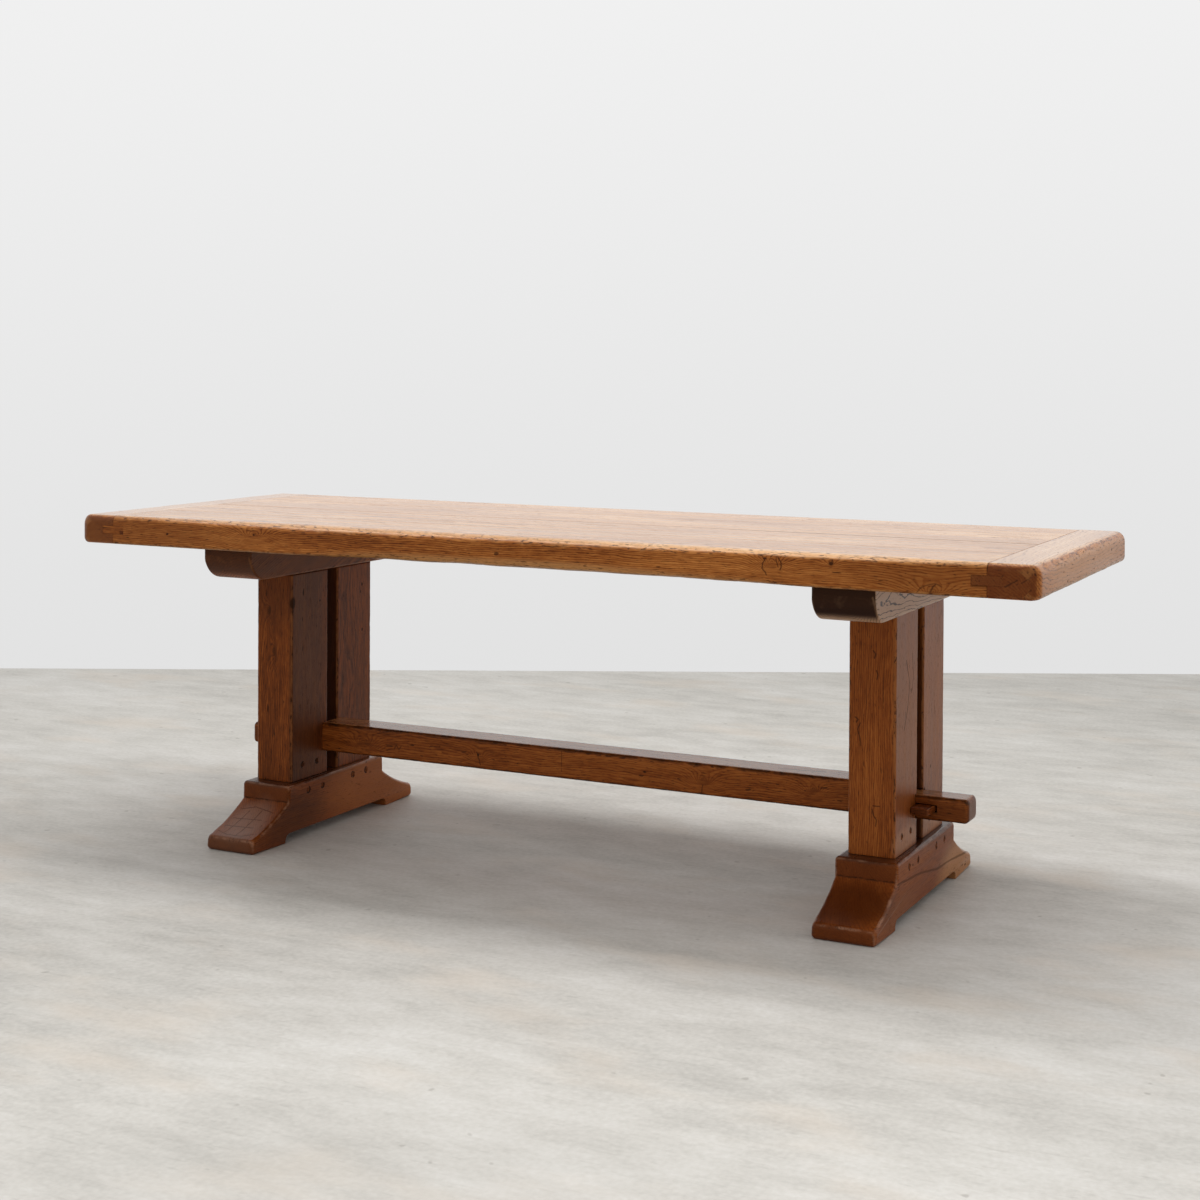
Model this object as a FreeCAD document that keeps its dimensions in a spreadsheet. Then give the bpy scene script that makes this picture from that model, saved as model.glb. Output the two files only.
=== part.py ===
import FreeCAD, Part
import os
import Sketcher

os.makedirs("parts", exist_ok=True)

# Oak trestle dining table, millimetres.
# +X runs along the top, -Y is the front, +Z is up.
# The origin is on the floor at the centre of the footprint.

doc = FreeCAD.newDocument("trestle_table")

# ---------------------------------------------------------------- driving sizes

SIZES = [
    ("table_height", 760, "floor to the top surface"),
    ("top_length", 2250, "over both breadboard ends"),
    ("top_width", 785, ""),
    ("top_thickness", 66, ""),
    ("board_count", 4, "boards side by side between the breadboard ends"),
    ("breadboard_width", 98, "each cross board at an end of the top"),
    ("top_edge_radius", 12, "rounding of the upper rim"),
    ("top_under_radius", 5, "rounding of the lower rim"),
    ("top_corner_radius", 20, "rounding of the upright corners"),
    ("end_tongue_width", 60, "loose tongue across each breadboard joint"),
    ("end_tongue_thickness", 19, ""),
    ("board_tongue_width", 30, "loose tongue along each joint between boards"),
    ("board_tongue_thickness", 14, ""),
    ("plug_width", 10, "filler let into the corner of the left end tongue"),
    ("plug_height", 9, ""),
    ("plug_depth", 25, ""),
    ("top_overhang", 391, "end of the top to the centre of a trestle"),
    ("bearer_width", 131, "cross beam under the top, along X"),
    ("bearer_length", 696, "along Y"),
    ("bearer_depth", 73, ""),
    ("bearer_nose_radius", 58, "rounding of the lower corner at each end"),
    ("bearer_arris", 3, "rounding of the long lower edges"),
    ("post_thickness", 100, "along X"),
    ("post_width", 148, "along Y"),
    ("post_gap", 39, "slot between the two posts of a trestle"),
    ("post_arris", 4, "rounding of the upright edges"),
    ("post_tenon_thickness", 34, "tenon of a post in the bearer"),
    ("post_tenon_width", 108, ""),
    ("post_tenon_length", 45, ""),
    ("foot_tenon_thickness", 34, "loose tenon between a post and its foot"),
    ("foot_tenon_width", 108, ""),
    ("foot_tenon_in_post", 60, ""),
    ("foot_tenon_in_foot", 60, ""),
    ("peg_diameter", 12, ""),
    ("peg_spacing", 58, "between the two pegs of one loose tenon"),
    ("post_peg_rise", 34, "peg axis above the top of the foot"),
    ("foot_peg_drop", 23, "peg axis below the top of the foot"),
    ("foot_width", 133, "along X"),
    ("foot_length", 676, "along Y"),
    ("foot_height", 131, "to the top of the block that the posts stand on"),
    ("foot_block_length", 402, ""),
    ("foot_step_height", 92, "where the block meets the sloping toe"),
    ("foot_toe_height", 32, "at the tip of the toe"),
    ("foot_slope_radius", 450, "hollow of the sloping toe"),
    ("foot_arch_height", 20, "relief between the two floor pads"),
    ("foot_arch_length", 424, ""),
    ("foot_arch_radius", 14, ""),
    ("foot_arris", 7, "rounding of the upper edges"),
    ("stretcher_width", 86, ""),
    ("stretcher_depth", 69, ""),
    ("stretcher_rise", 183, "floor to the underside of the stretcher"),
    ("stretcher_arris", 6, "rounding of the two upper edges"),
    ("tenon_width", 66, "through tenon at each end of the stretcher"),
    ("tenon_depth", 50, ""),
    ("tenon_reach", 112, "beyond the outer faces of the posts"),
    ("tenon_end_radius", 9, ""),
    ("slot_length", 46, "key slot beyond the outer faces of the posts"),
    ("slot_relief", 4, "key slot inside the outer faces of the posts"),
    ("slot_height", 14.6, ""),
    ("slot_rise", 17.5, "above the underside of the tenon"),
    ("key_length", 168, ""),
    ("key_front_width", 38, "narrow end of the wedge"),
    ("key_front_reach", 39, "in front of the tenon"),
    ("key_clearance", 0.3, "running gap of the wedge"),
    ("key_arris", 2, ""),
    ("screw_diameter", 8, "shank of the screws that hold the top"),
    ("screw_length", 95, "under the head"),
    ("screw_hole_clearance", 0.5, "round the shank in the bearer"),
    ("screw_head_diameter", 14, ""),
    ("screw_head_height", 4, ""),
    ("screw_pocket_diameter", 17, "counterbore in the underside of the bearer"),
    ("screw_pocket_depth", 18, ""),
    ("screw_spacing", 70, "between the two screws side by side"),
    ("screw_inset", 39, "from the outermost joint of the boards, towards the rim"),
]

# Sizes that follow from the driving ones.
DERIVED = [
    ("top_underside", "=table_height - top_thickness"),
    ("top_middle", "=table_height - top_thickness / 2"),
    ("board_length", "=top_length - 2 * breadboard_width"),
    ("board_width", "=top_width / board_count"),
    ("bearer_underside", "=top_underside - bearer_depth"),
    ("trestle_centre", "=top_length / 2 - top_overhang"),
    ("screw_row", "=top_width / 2 - board_width + screw_inset"),
    ("post_centre", "=post_gap / 2 + post_width / 2"),
    ("post_outer_face", "=trestle_centre + post_thickness / 2"),
    ("post_inner_face", "=trestle_centre - post_thickness / 2"),
    ("tenon_end", "=post_outer_face + tenon_reach"),
    ("slot_floor", "=stretcher_rise + slot_rise"),
    ("key_front", "=tenon_width / 2 + key_front_reach"),
    ("key_taper", "=(slot_length - 2 * key_clearance - key_front_width) / (tenon_width + key_front_reach)"),
    ("key_back_width", "=key_front_width + key_taper * key_length"),
]

dims = doc.addObject("Spreadsheet::Sheet", "dims")
for row, (alias, value, note) in enumerate(SIZES, start=1):
    dims.set("A%d" % row, alias)
    dims.set("B%d" % row, str(value))
    dims.set("C%d" % row, note)
    dims.setAlias("B%d" % row, alias)
for row, (alias, formula) in enumerate(DERIVED, start=len(SIZES) + 1):
    dims.set("A%d" % row, alias)
    dims.set("B%d" % row, formula)
    dims.setAlias("B%d" % row, alias)
doc.recompute()

LEFT, RIGHT = ("left", -1), ("right", 1)
FRONT, BACK = ("front", -1), ("back", 1)
HAIR = 0.01     # tolerance when edges are picked by their place

subparts = []


def size(alias):
    """The present value of a cell."""
    return float(dims.get(alias))


# ---------------------------------------------------------------- modelling helpers

def new_body(label):
    """A PartDesign body that becomes one node."""
    body = doc.addObject("PartDesign::Body", label)
    body.Label = label
    subparts.append(body)
    return body


def bind(feature, bindings):
    """Ties properties of a feature to expressions."""
    for name, expression in bindings.items():
        feature.setExpression(name, expression)


def block(body, name, extent, lowest, cut=False):
    """A box of the body: its three sizes and its lowest corner, as expressions."""
    kind = "PartDesign::SubtractiveBox" if cut else "PartDesign::AdditiveBox"
    box = body.newObject(kind, name)
    bind(box, dict(zip(("Length", "Width", "Height"), extent)))
    bind(box, dict(zip(("Placement.Base.x", "Placement.Base.y", "Placement.Base.z"), lowest)))
    return box


def bore(body, name, axis, diameter, depth, start):
    """A round hole along +X or +Z from its start point."""
    hole = body.newObject("PartDesign::SubtractiveCylinder", name)
    bind(hole, {"Radius": "%s / 2" % diameter, "Height": depth})
    if axis == "x":
        hole.Placement = FreeCAD.Placement(FreeCAD.Vector(), FreeCAD.Rotation(FreeCAD.Vector(0, 1, 0), 90))
    bind(hole, dict(zip(("Placement.Base.x", "Placement.Base.y", "Placement.Base.z"), start)))
    return hole


def origin_plane(body, role):
    """One of the body's own origin planes."""
    return next(plane for plane in body.Origin.OriginFeatures if plane.Role == role)


def outline(body, name, role, corners):
    """A closed sketch. A corner is (x, y) or, where an arc leads on, (x, y, radius, turn).

    The turn is 1 for an arc that bulges to the right of the way round and -1 to the left.
    """
    sketch = body.newObject("Sketcher::SketchObject", name)
    sketch.AttachmentSupport = [(origin_plane(body, role), "")]
    sketch.MapMode = "FlatFace"
    points = [FreeCAD.Vector(*[float(sketch.evalExpression(e)) for e in c[:2]], 0) for c in corners]
    for i, corner in enumerate(corners):
        start, end = points[i], points[(i + 1) % len(points)]
        if len(corner) == 2:
            sketch.addGeometry(Part.LineSegment(start, end))
            continue
        radius = float(sketch.evalExpression(corner[2]))
        along = end - start
        normal = FreeCAD.Vector(along.y, -along.x, 0).normalize() * corner[3]
        rise = radius - (radius ** 2 - along.Length ** 2 / 4) ** 0.5
        sketch.addGeometry(Part.Arc(start, (start + end) / 2 + normal * rise, end))
    for i, corner in enumerate(corners):
        after = (i + 1) % len(corners)
        # A sketch keeps its arcs anticlockwise, so an arc may run against the outline.
        arrive, leave = [edge_end(sketch, i, point) for point in (points[after], points[i])]
        depart = edge_end(sketch, after, points[after])
        sketch.addConstraint(Sketcher.Constraint("Coincident", i, arrive, after, depart))
        for kind, expression in zip(("DistanceX", "DistanceY"), corner[:2]):
            value = float(sketch.evalExpression(expression))
            index = sketch.addConstraint(Sketcher.Constraint(kind, i, leave, value))
            sketch.setExpression("Constraints[%d]" % index, expression)
        if len(corner) > 2:
            radius = float(sketch.evalExpression(corner[2]))
            index = sketch.addConstraint(Sketcher.Constraint("Radius", i, radius))
            sketch.setExpression("Constraints[%d]" % index, corner[2])
    return sketch


def edge_end(sketch, index, point):
    """1 or 2: the end of a sketch edge that lies at the point."""
    gaps = [sketch.getPoint(index, end).distanceToPoint(point) for end in (1, 2)]
    return 1 if gaps[0] < gaps[1] else 2


def pad(body, name, sketch, length):
    """A symmetric pad of a sketch."""
    feature = body.newObject("PartDesign::Pad", name)
    feature.Profile = sketch
    feature.SideType = "Symmetric"
    bind(feature, {"Length": length})
    sketch.Visibility = False
    return feature


def rounded(body, name, radius, wanted):
    """A fillet on the edges of the body whose box passes the test."""
    doc.recompute()
    base = body.Tip
    names = ["Edge%d" % (i + 1) for i, edge in enumerate(base.Shape.Edges) if wanted(edge.BoundBox)]
    fillet = body.newObject("PartDesign::Fillet", name)
    fillet.Base = (base, names)
    bind(fillet, {"Radius": radius})
    return fillet


def near(value, target):
    return abs(value - target) < HAIR


def at(low, high, target):
    """True where an edge's box is flat at one coordinate."""
    return near(low, target) and near(high, target)


def solid_group(label, solids):
    """Identical fasteners share one node as a compound of separate solids."""
    group = doc.addObject("Part::Compound", label)
    group.Label = label
    group.Links = solids
    subparts.append(group)
    return group


# ---------------------------------------------------------------- the top

def top_boards():
    """Boards side by side, grooved for the loose tongues and bored for the screws."""
    count = int(size("board_count"))
    for i in range(count):
        body = new_body("top_board_%d" % (i + 1))
        low_y = "%d * dims.board_width - dims.top_width / 2" % i
        block(body, "plank_%d" % (i + 1),
              ("dims.board_length", "dims.board_width", "dims.top_thickness"),
              ("-dims.board_length / 2", low_y, "dims.top_underside"))
        for side, sign in (LEFT, RIGHT):
            block(body, "end_groove_%s_%d" % (side, i + 1),
                  ("dims.end_tongue_width", "dims.board_width", "dims.end_tongue_thickness"),
                  ("%d * dims.board_length / 2 - dims.end_tongue_width / 2" % sign, low_y,
                   "dims.top_middle - dims.end_tongue_thickness / 2"), cut=True)
        for joint in (i, i + 1):
            if 0 < joint < count:
                block(body, "edge_groove_%d_%d" % (i + 1, joint),
                      ("dims.board_length - dims.end_tongue_width", "dims.board_tongue_width",
                       "dims.board_tongue_thickness"), tongue_corner(joint), cut=True)
        screw_bores(body, "pilot_%d" % (i + 1), i)
        if i in (0, count - 1):
            rim = -size("top_width") / 2 if i == 0 else size("top_width") / 2
            long_edges(body, "upper_rim_%d" % (i + 1), "dims.top_edge_radius", rim, size("table_height"))
            long_edges(body, "lower_rim_%d" % (i + 1), "dims.top_under_radius", rim, size("top_underside"))


def tongue_corner(joint):
    """Lowest corner of the loose tongue between two boards."""
    return ("dims.end_tongue_width / 2 - dims.board_length / 2",
            "%d * dims.board_width - dims.top_width / 2 - dims.board_tongue_width / 2" % joint,
            "dims.top_middle - dims.board_tongue_thickness / 2")


def long_edges(body, name, radius, y, z):
    """Rounds the edges that run along X at one y and z."""
    rounded(body, name, radius,
            lambda box: at(box.YMin, box.YMax, y) and at(box.ZMin, box.ZMax, z))


def screw_places():
    """The four screws of each bearer: name, x and y, as expressions."""
    for side, sign in (LEFT, RIGHT):
        for column in (-1, 1):
            for end, way in (FRONT, BACK):
                yield ("%s_%s_%d" % (side, end, (column + 3) // 2), side,
                       "%d * dims.trestle_centre + %d * dims.screw_spacing / 2" % (sign, column),
                       "%d * dims.screw_row" % way)


def screw_bores(body, name, board):
    """Pilot holes of the screws that reach this board."""
    low = board * size("board_width") - size("top_width") / 2
    for place, side, x, y in screw_places():
        if low < float(body.evalExpression(y)) < low + size("board_width"):
            bore(body, "%s_%s" % (name, place), "z", "dims.screw_diameter",
                 "dims.screw_length - dims.bearer_depth + dims.screw_pocket_depth",
                 (x, y, "dims.top_underside"))


def board_tongues():
    """Loose tongues in the joints between the boards."""
    for joint in range(1, int(size("board_count"))):
        body = new_body("board_tongue_%d" % joint)
        block(body, "board_tongue_strip_%d" % joint,
              ("dims.board_length - dims.end_tongue_width", "dims.board_tongue_width",
               "dims.board_tongue_thickness"), tongue_corner(joint))


def breadboard_end(side, sign):
    """The cross board at one end of the top, with its loose tongue."""
    body = new_body("%s_breadboard" % side)
    inner_x = "%d * dims.board_length / 2" % sign
    outward = "" if sign > 0 else " - dims.breadboard_width"
    block(body, "cross_plank_%s" % side,
          ("dims.breadboard_width", "dims.top_width", "dims.top_thickness"),
          (inner_x + outward, "-dims.top_width / 2", "dims.top_underside"))
    tongue_size = ("dims.end_tongue_width", "dims.top_width", "dims.end_tongue_thickness")
    tongue_low = ("%s - dims.end_tongue_width / 2" % inner_x, "-dims.top_width / 2",
                  "dims.top_middle - dims.end_tongue_thickness / 2")
    block(body, "cross_groove_%s" % side, tongue_size, tongue_low, cut=True)
    outer = sign * size("top_length") / 2
    inner = sign * size("board_length") / 2
    rounded(body, "corners_%s" % side, "dims.top_corner_radius",
            lambda box: at(box.XMin, box.XMax, outer) and box.ZLength > size("top_thickness") - HAIR)
    for name, radius, z in (("upper_rim", "dims.top_edge_radius", size("table_height")),
                            ("lower_rim", "dims.top_under_radius", size("top_underside"))):
        rounded(body, "%s_%s" % (name, side), radius,
                lambda box: at(box.ZMin, box.ZMax, z) and not at(box.XMin, box.XMax, inner))

    tongue = new_body("%s_end_tongue" % side)
    block(tongue, "tongue_strip_%s" % side, tongue_size, tongue_low)
    if side == "left":
        plug_size = ("dims.plug_width", "dims.plug_depth", "dims.plug_height")
        plug_low = ("%s + dims.end_tongue_width / 2 - dims.plug_width" % inner_x,
                    "-dims.top_width / 2", tongue_low[2])
        block(tongue, "plug_seat", plug_size, plug_low, cut=True)
        block(new_body("left_tongue_plug"), "plug", plug_size, plug_low)


# ---------------------------------------------------------------- the trestles

def bearer(side, sign):
    """The cross beam that carries the top, screwed to it from below."""
    body = new_body("%s_bearer" % side)
    end, low, top = "dims.bearer_length / 2", "dims.bearer_underside", "dims.top_underside"
    nose = "dims.bearer_nose_radius"
    profile = outline(body, "%s_bearer_profile" % side, "YZ_Plane", [
        ("-%s" % end, top),
        ("-%s" % end, "%s + %s" % (low, nose), nose, 1),
        ("%s - %s" % (nose, end), low),
        ("%s - %s" % (end, nose), low, nose, 1),
        (end, "%s + %s" % (low, nose)),
        (end, top),
    ])
    pad(body, "%s_bearer_beam" % side, profile, "dims.bearer_width")
    rounded(body, "%s_bearer_edges" % side, "dims.bearer_arris",
            lambda box: near(box.XLength, 0) and box.ZMin < size("top_underside") - size("bearer_arris"))
    for end_name, way in (FRONT, BACK):
        block(body, "%s_bearer_mortise_%s" % (side, end_name),
              ("dims.post_tenon_thickness", "dims.post_tenon_width", "dims.post_tenon_length"),
              ("-dims.post_tenon_thickness / 2",
               "%d * dims.post_centre - dims.post_tenon_width / 2" % way, "dims.bearer_underside"), cut=True)
    for place, place_side, x, y in screw_places():
        if place_side == side:
            local_x = "%s - %d * dims.trestle_centre" % (x, sign)
            bore(body, "clearance_%s" % place, "z", "(dims.screw_diameter + 2 * dims.screw_hole_clearance)",
                 "dims.bearer_depth", (local_x, y, "dims.bearer_underside"))
            bore(body, "pocket_%s" % place, "z", "dims.screw_pocket_diameter", "dims.screw_pocket_depth",
                 (local_x, y, "dims.bearer_underside"))
    bind(body, {"Placement.Base.x": "%d * dims.trestle_centre" % sign})


def post(side, sign, end_name, way):
    """One of the two posts of a trestle, notched round the stretcher's tenon."""
    name = "%s_%s" % (side, end_name)
    body = new_body("%s_post" % name)
    block(body, "%s_shaft" % name,
          ("dims.post_thickness", "dims.post_width", "dims.bearer_underside - dims.foot_height"),
          ("-dims.post_thickness / 2", "%d * dims.post_centre - dims.post_width / 2" % way,
           "dims.foot_height"))
    rounded(body, "%s_arrises" % name, "dims.post_arris",
            lambda box: near(box.XLength, 0) and near(box.YLength, 0))
    block(body, "%s_top_tenon" % name,
          ("dims.post_tenon_thickness", "dims.post_tenon_width", "dims.post_tenon_length"),
          ("-dims.post_tenon_thickness / 2",
           "%d * dims.post_centre - dims.post_tenon_width / 2" % way, "dims.bearer_underside"))
    block(body, "%s_foot_mortise" % name,
          ("dims.foot_tenon_thickness", "dims.foot_tenon_width", "dims.foot_tenon_in_post"),
          ("-dims.foot_tenon_thickness / 2",
           "%d * dims.post_centre - dims.foot_tenon_width / 2" % way, "dims.foot_height"), cut=True)
    block(body, "%s_notch" % name,
          ("dims.post_thickness", "dims.tenon_width", "dims.tenon_depth"),
          ("-dims.post_thickness / 2", "-dims.tenon_width / 2", "dims.stretcher_rise"), cut=True)
    for place, y in peg_places(way):
        bore(body, "%s_peg_hole_%s" % (name, place), "x", "dims.peg_diameter", "dims.post_thickness",
             ("-dims.post_thickness / 2", y, "dims.foot_height + dims.post_peg_rise"))
    bind(body, {"Placement.Base.x": "%d * dims.trestle_centre" % sign})


def peg_places(way):
    """The two pegs of one loose tenon: name and y, as expressions."""
    for place, hand in (("a", -1), ("b", 1)):
        yield place, "%d * dims.post_centre + %d * dims.peg_spacing / 2" % (way, hand)


def foot_tenon(side, sign, end_name, way):
    """The loose tenon that joins a post to the foot, bored for its four pegs."""
    name = "%s_%s" % (side, end_name)
    body = new_body("%s_foot_tenon" % name)
    block(body, "%s_loose_tenon" % name,
          ("dims.foot_tenon_thickness", "dims.foot_tenon_width",
           "dims.foot_tenon_in_post + dims.foot_tenon_in_foot"),
          ("-dims.foot_tenon_thickness / 2",
           "%d * dims.post_centre - dims.foot_tenon_width / 2" % way,
           "dims.foot_height - dims.foot_tenon_in_foot"))
    for place, y in peg_places(way):
        for level, z in (("low", "dims.foot_height - dims.foot_peg_drop"),
                         ("high", "dims.foot_height + dims.post_peg_rise")):
            bore(body, "%s_tenon_bore_%s_%s" % (name, place, level), "x", "dims.peg_diameter",
                 "dims.foot_tenon_thickness", ("-dims.foot_tenon_thickness / 2", y, z))
    bind(body, {"Placement.Base.x": "%d * dims.trestle_centre" % sign})


def foot(side, sign):
    """The floor beam: a block, a hollow sloping toe at each end and an arch below."""
    body = new_body("%s_foot" % side)
    tip, face, pad_end = "dims.foot_length / 2", "dims.foot_block_length / 2", "dims.foot_arch_length / 2"
    arch, radius = "dims.foot_arch_height", "dims.foot_arch_radius"
    slope = "dims.foot_slope_radius"
    profile = outline(body, "%s_foot_profile" % side, "YZ_Plane", [
        ("-%s" % tip, "0"),
        ("-%s" % pad_end, "0"),
        ("-%s" % pad_end, "%s - %s" % (arch, radius), radius, -1),
        ("%s - %s" % (radius, pad_end), arch),
        ("%s - %s" % (pad_end, radius), arch, radius, -1),
        (pad_end, "%s - %s" % (arch, radius)),
        (pad_end, "0"),
        (tip, "0"),
        (tip, "dims.foot_toe_height", slope, -1),
        (face, "dims.foot_step_height"),
        (face, "dims.foot_height"),
        ("-%s" % face, "dims.foot_height"),
        ("-%s" % face, "dims.foot_step_height", slope, -1),
        ("-%s" % tip, "dims.foot_toe_height"),
    ])
    pad(body, "%s_foot_beam" % side, profile, "dims.foot_width")
    rounded(body, "%s_foot_cross_edges" % side, "dims.foot_arris", foot_cross_edge)
    rounded(body, "%s_foot_side_edges" % side, "dims.foot_arris", foot_side_edge)
    for end_name, way in (FRONT, BACK):
        name = "%s_%s" % (side, end_name)
        block(body, "%s_post_mortise" % name,
              ("dims.foot_tenon_thickness", "dims.foot_tenon_width", "dims.foot_tenon_in_foot"),
              ("-dims.foot_tenon_thickness / 2",
               "%d * dims.post_centre - dims.foot_tenon_width / 2" % way,
               "dims.foot_height - dims.foot_tenon_in_foot"), cut=True)
        for place, y in peg_places(way):
            bore(body, "%s_foot_peg_hole_%s" % (name, place), "x", "dims.peg_diameter", "dims.foot_width",
                 ("-dims.foot_width / 2", y, "dims.foot_height - dims.foot_peg_drop"))
    bind(body, {"Placement.Base.x": "%d * dims.trestle_centre" % sign})


def foot_cross_edge(box):
    """True for the edges along X at the tips of the toes and the ends of the block."""
    tip = at(box.ZMin, box.ZMax, size("foot_toe_height"))
    return near(box.YLength, 0) and (tip or at(box.ZMin, box.ZMax, size("foot_height")))


def foot_side_edge(box):
    """True for the edges of both side faces, apart from those of the arch and the floor pads."""
    on_side = near(box.XLength, 0) and box.ZMax > HAIR
    in_arch = box.ZMax < size("foot_arch_height") + HAIR and box.YLength < size("foot_arch_length")
    at_tip = max(abs(box.YMin), abs(box.YMax)) > size("foot_arch_length") / 2 + HAIR
    return on_side and (at_tip or not in_arch)


def pegs(side, sign, kind, length, z):
    """The four pegs of one level of a trestle."""
    solids = []
    for end_name, way in (FRONT, BACK):
        for place, y in peg_places(way):
            peg = doc.addObject("Part::Cylinder", "%s_%s_peg_%s_%s" % (side, kind, end_name, place))
            peg.Placement = FreeCAD.Placement(FreeCAD.Vector(), FreeCAD.Rotation(FreeCAD.Vector(0, 1, 0), 90))
            bind(peg, {"Radius": "dims.peg_diameter / 2", "Height": length,
                       "Placement.Base.x": "%d * dims.trestle_centre - %s / 2" % (sign, length),
                       "Placement.Base.y": y, "Placement.Base.z": z})
            solids.append(peg)
    solid_group("%s_%s_pegs" % (side, kind), solids)


def screws(side):
    """The four screws that go up through one bearer into the top."""
    solids = []
    seat = "dims.bearer_underside + dims.screw_pocket_depth"
    for place, place_side, x, y in screw_places():
        if place_side != side:
            continue
        shank = doc.addObject("Part::Cylinder", "shank_%s" % place)
        bind(shank, {"Radius": "dims.screw_diameter / 2", "Height": "dims.screw_length",
                     "Placement.Base.x": x, "Placement.Base.y": y, "Placement.Base.z": seat})
        head = doc.addObject("Part::Cylinder", "head_%s" % place)
        bind(head, {"Radius": "dims.screw_head_diameter / 2", "Height": "dims.screw_head_height",
                    "Placement.Base.x": x, "Placement.Base.y": y,
                    "Placement.Base.z": "%s - dims.screw_head_height" % seat})
        screw = doc.addObject("Part::Fuse", "screw_%s" % place)
        screw.Base, screw.Tool = shank, head
        solids.append(screw)
    solid_group("%s_bearer_screws" % side, solids)


# ---------------------------------------------------------------- stretcher and keys

def stretcher():
    """The long rail low down, with a through tenon at each end."""
    body = new_body("stretcher")
    block(body, "rail", ("2 * dims.post_inner_face", "dims.stretcher_width", "dims.stretcher_depth"),
          ("-dims.post_inner_face", "-dims.stretcher_width / 2", "dims.stretcher_rise"))
    for way in (-1, 1):
        long_edges(body, "rail_arris_%s" % ("front" if way < 0 else "back"), "dims.stretcher_arris",
                   way * size("stretcher_width") / 2, size("stretcher_rise") + size("stretcher_depth"))
    block(body, "tenons", ("2 * dims.tenon_end", "dims.tenon_width", "dims.tenon_depth"),
          ("-dims.tenon_end", "-dims.tenon_width / 2", "dims.stretcher_rise"))
    for side, sign in (LEFT, RIGHT):
        end = sign * size("tenon_end")
        rounded(body, "tenon_end_%s" % side, "dims.tenon_end_radius",
                lambda box: at(box.XMin, box.XMax, end))
    for side, sign in (LEFT, RIGHT):
        near_face = "%d * dims.post_outer_face" % sign
        back_off = " - dims.slot_relief" if sign > 0 else " - dims.slot_length"
        block(body, "key_slot_%s" % side,
              ("dims.slot_length + dims.slot_relief", "dims.tenon_width", "dims.slot_height"),
              (near_face + back_off, "-dims.tenon_width / 2", "dims.slot_floor"), cut=True)


def key(side, sign):
    """The tapered wedge through the tenon. It is driven from the back and drawn out to the back."""
    body = new_body("%s_key" % side)
    straight = "%d * (dims.post_outer_face + dims.key_clearance)" % sign
    profile = outline(body, "%s_key_profile" % side, "XY_Plane", [
        (straight, "-dims.key_front"),
        ("%s + %d * dims.key_front_width" % (straight, sign), "-dims.key_front"),
        ("%s + %d * dims.key_back_width" % (straight, sign), "dims.key_length - dims.key_front"),
        (straight, "dims.key_length - dims.key_front"),
    ])
    pad(body, "%s_wedge" % side, profile, "dims.slot_height - 2 * dims.key_clearance")
    rounded(body, "%s_key_arrises" % side, "dims.key_arris", lambda box: True)
    bind(body, {"Placement.Base.z": "dims.slot_floor + dims.slot_height / 2"})


# ---------------------------------------------------------------- assembly

top_boards()
board_tongues()
for side, sign in (LEFT, RIGHT):
    breadboard_end(side, sign)
    bearer(side, sign)
    for end_name, way in (FRONT, BACK):
        post(side, sign, end_name, way)
        foot_tenon(side, sign, end_name, way)
    foot(side, sign)
    pegs(side, sign, "foot", "dims.foot_width", "dims.foot_height - dims.foot_peg_drop")
    pegs(side, sign, "post", "dims.post_thickness", "dims.foot_height + dims.post_peg_rise")
    screws(side)
stretcher()
for side, sign in (LEFT, RIGHT):
    key(side, sign)

doc.recompute()

# ---------------------------------------------------------------- checks and export

for item in doc.Objects:
    if {"Invalid", "Error"} & set(item.State):
        raise RuntimeError("%s failed: %s" % (item.Label, item.State))
for item in subparts:
    if item.Shape.isNull() or not item.Shape.isValid():
        raise RuntimeError("%s has no valid shape" % item.Label)
for item in subparts:
    item.Shape.exportStep(os.path.join("parts", item.Label + ".step"))
    box = item.Shape.BoundBox
    print("%-24s %d solid(s) %9.1f cm3  x %7.1f %7.1f  y %6.1f %6.1f  z %5.1f %5.1f" % (
        item.Label, len(item.Shape.Solids), item.Shape.Volume / 1000,
        box.XMin, box.XMax, box.YMin, box.YMax, box.ZMin, box.ZMax))
print("nodes:", len(subparts))
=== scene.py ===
import math

import bmesh
import bpy
from mathutils import Matrix, Vector, kdtree, noise


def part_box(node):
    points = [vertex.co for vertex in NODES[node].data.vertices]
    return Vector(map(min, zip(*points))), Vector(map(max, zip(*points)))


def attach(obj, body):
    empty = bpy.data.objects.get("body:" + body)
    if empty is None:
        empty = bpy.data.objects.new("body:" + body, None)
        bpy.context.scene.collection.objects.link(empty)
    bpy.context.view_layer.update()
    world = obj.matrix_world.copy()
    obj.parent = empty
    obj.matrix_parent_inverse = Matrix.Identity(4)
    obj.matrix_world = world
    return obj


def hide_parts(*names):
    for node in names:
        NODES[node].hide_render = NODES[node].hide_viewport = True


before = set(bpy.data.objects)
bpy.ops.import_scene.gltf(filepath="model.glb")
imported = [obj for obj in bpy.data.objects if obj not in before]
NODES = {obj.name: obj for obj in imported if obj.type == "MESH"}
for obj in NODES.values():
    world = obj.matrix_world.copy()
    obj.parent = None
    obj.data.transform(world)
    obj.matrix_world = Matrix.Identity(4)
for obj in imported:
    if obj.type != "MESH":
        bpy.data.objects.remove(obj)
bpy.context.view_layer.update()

MM = 0.001
SKIN = 0.15 * MM          # how far a dressed face lies inside its CAD solid
ARC = 6                   # segments round a quarter turn
LONG_RADIUS = 30 * MM     # from here on a bar's rounded end gets twice as many rows
SUPPORT = 2.5 * MM        # a flat's first row of points next to an arris
SHARP_ANGLE = math.radians(38)
JOINT, FITTED = 1.1, 0.6  # mm, the eased arrises at the top's joints and round its let-in pieces
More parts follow.
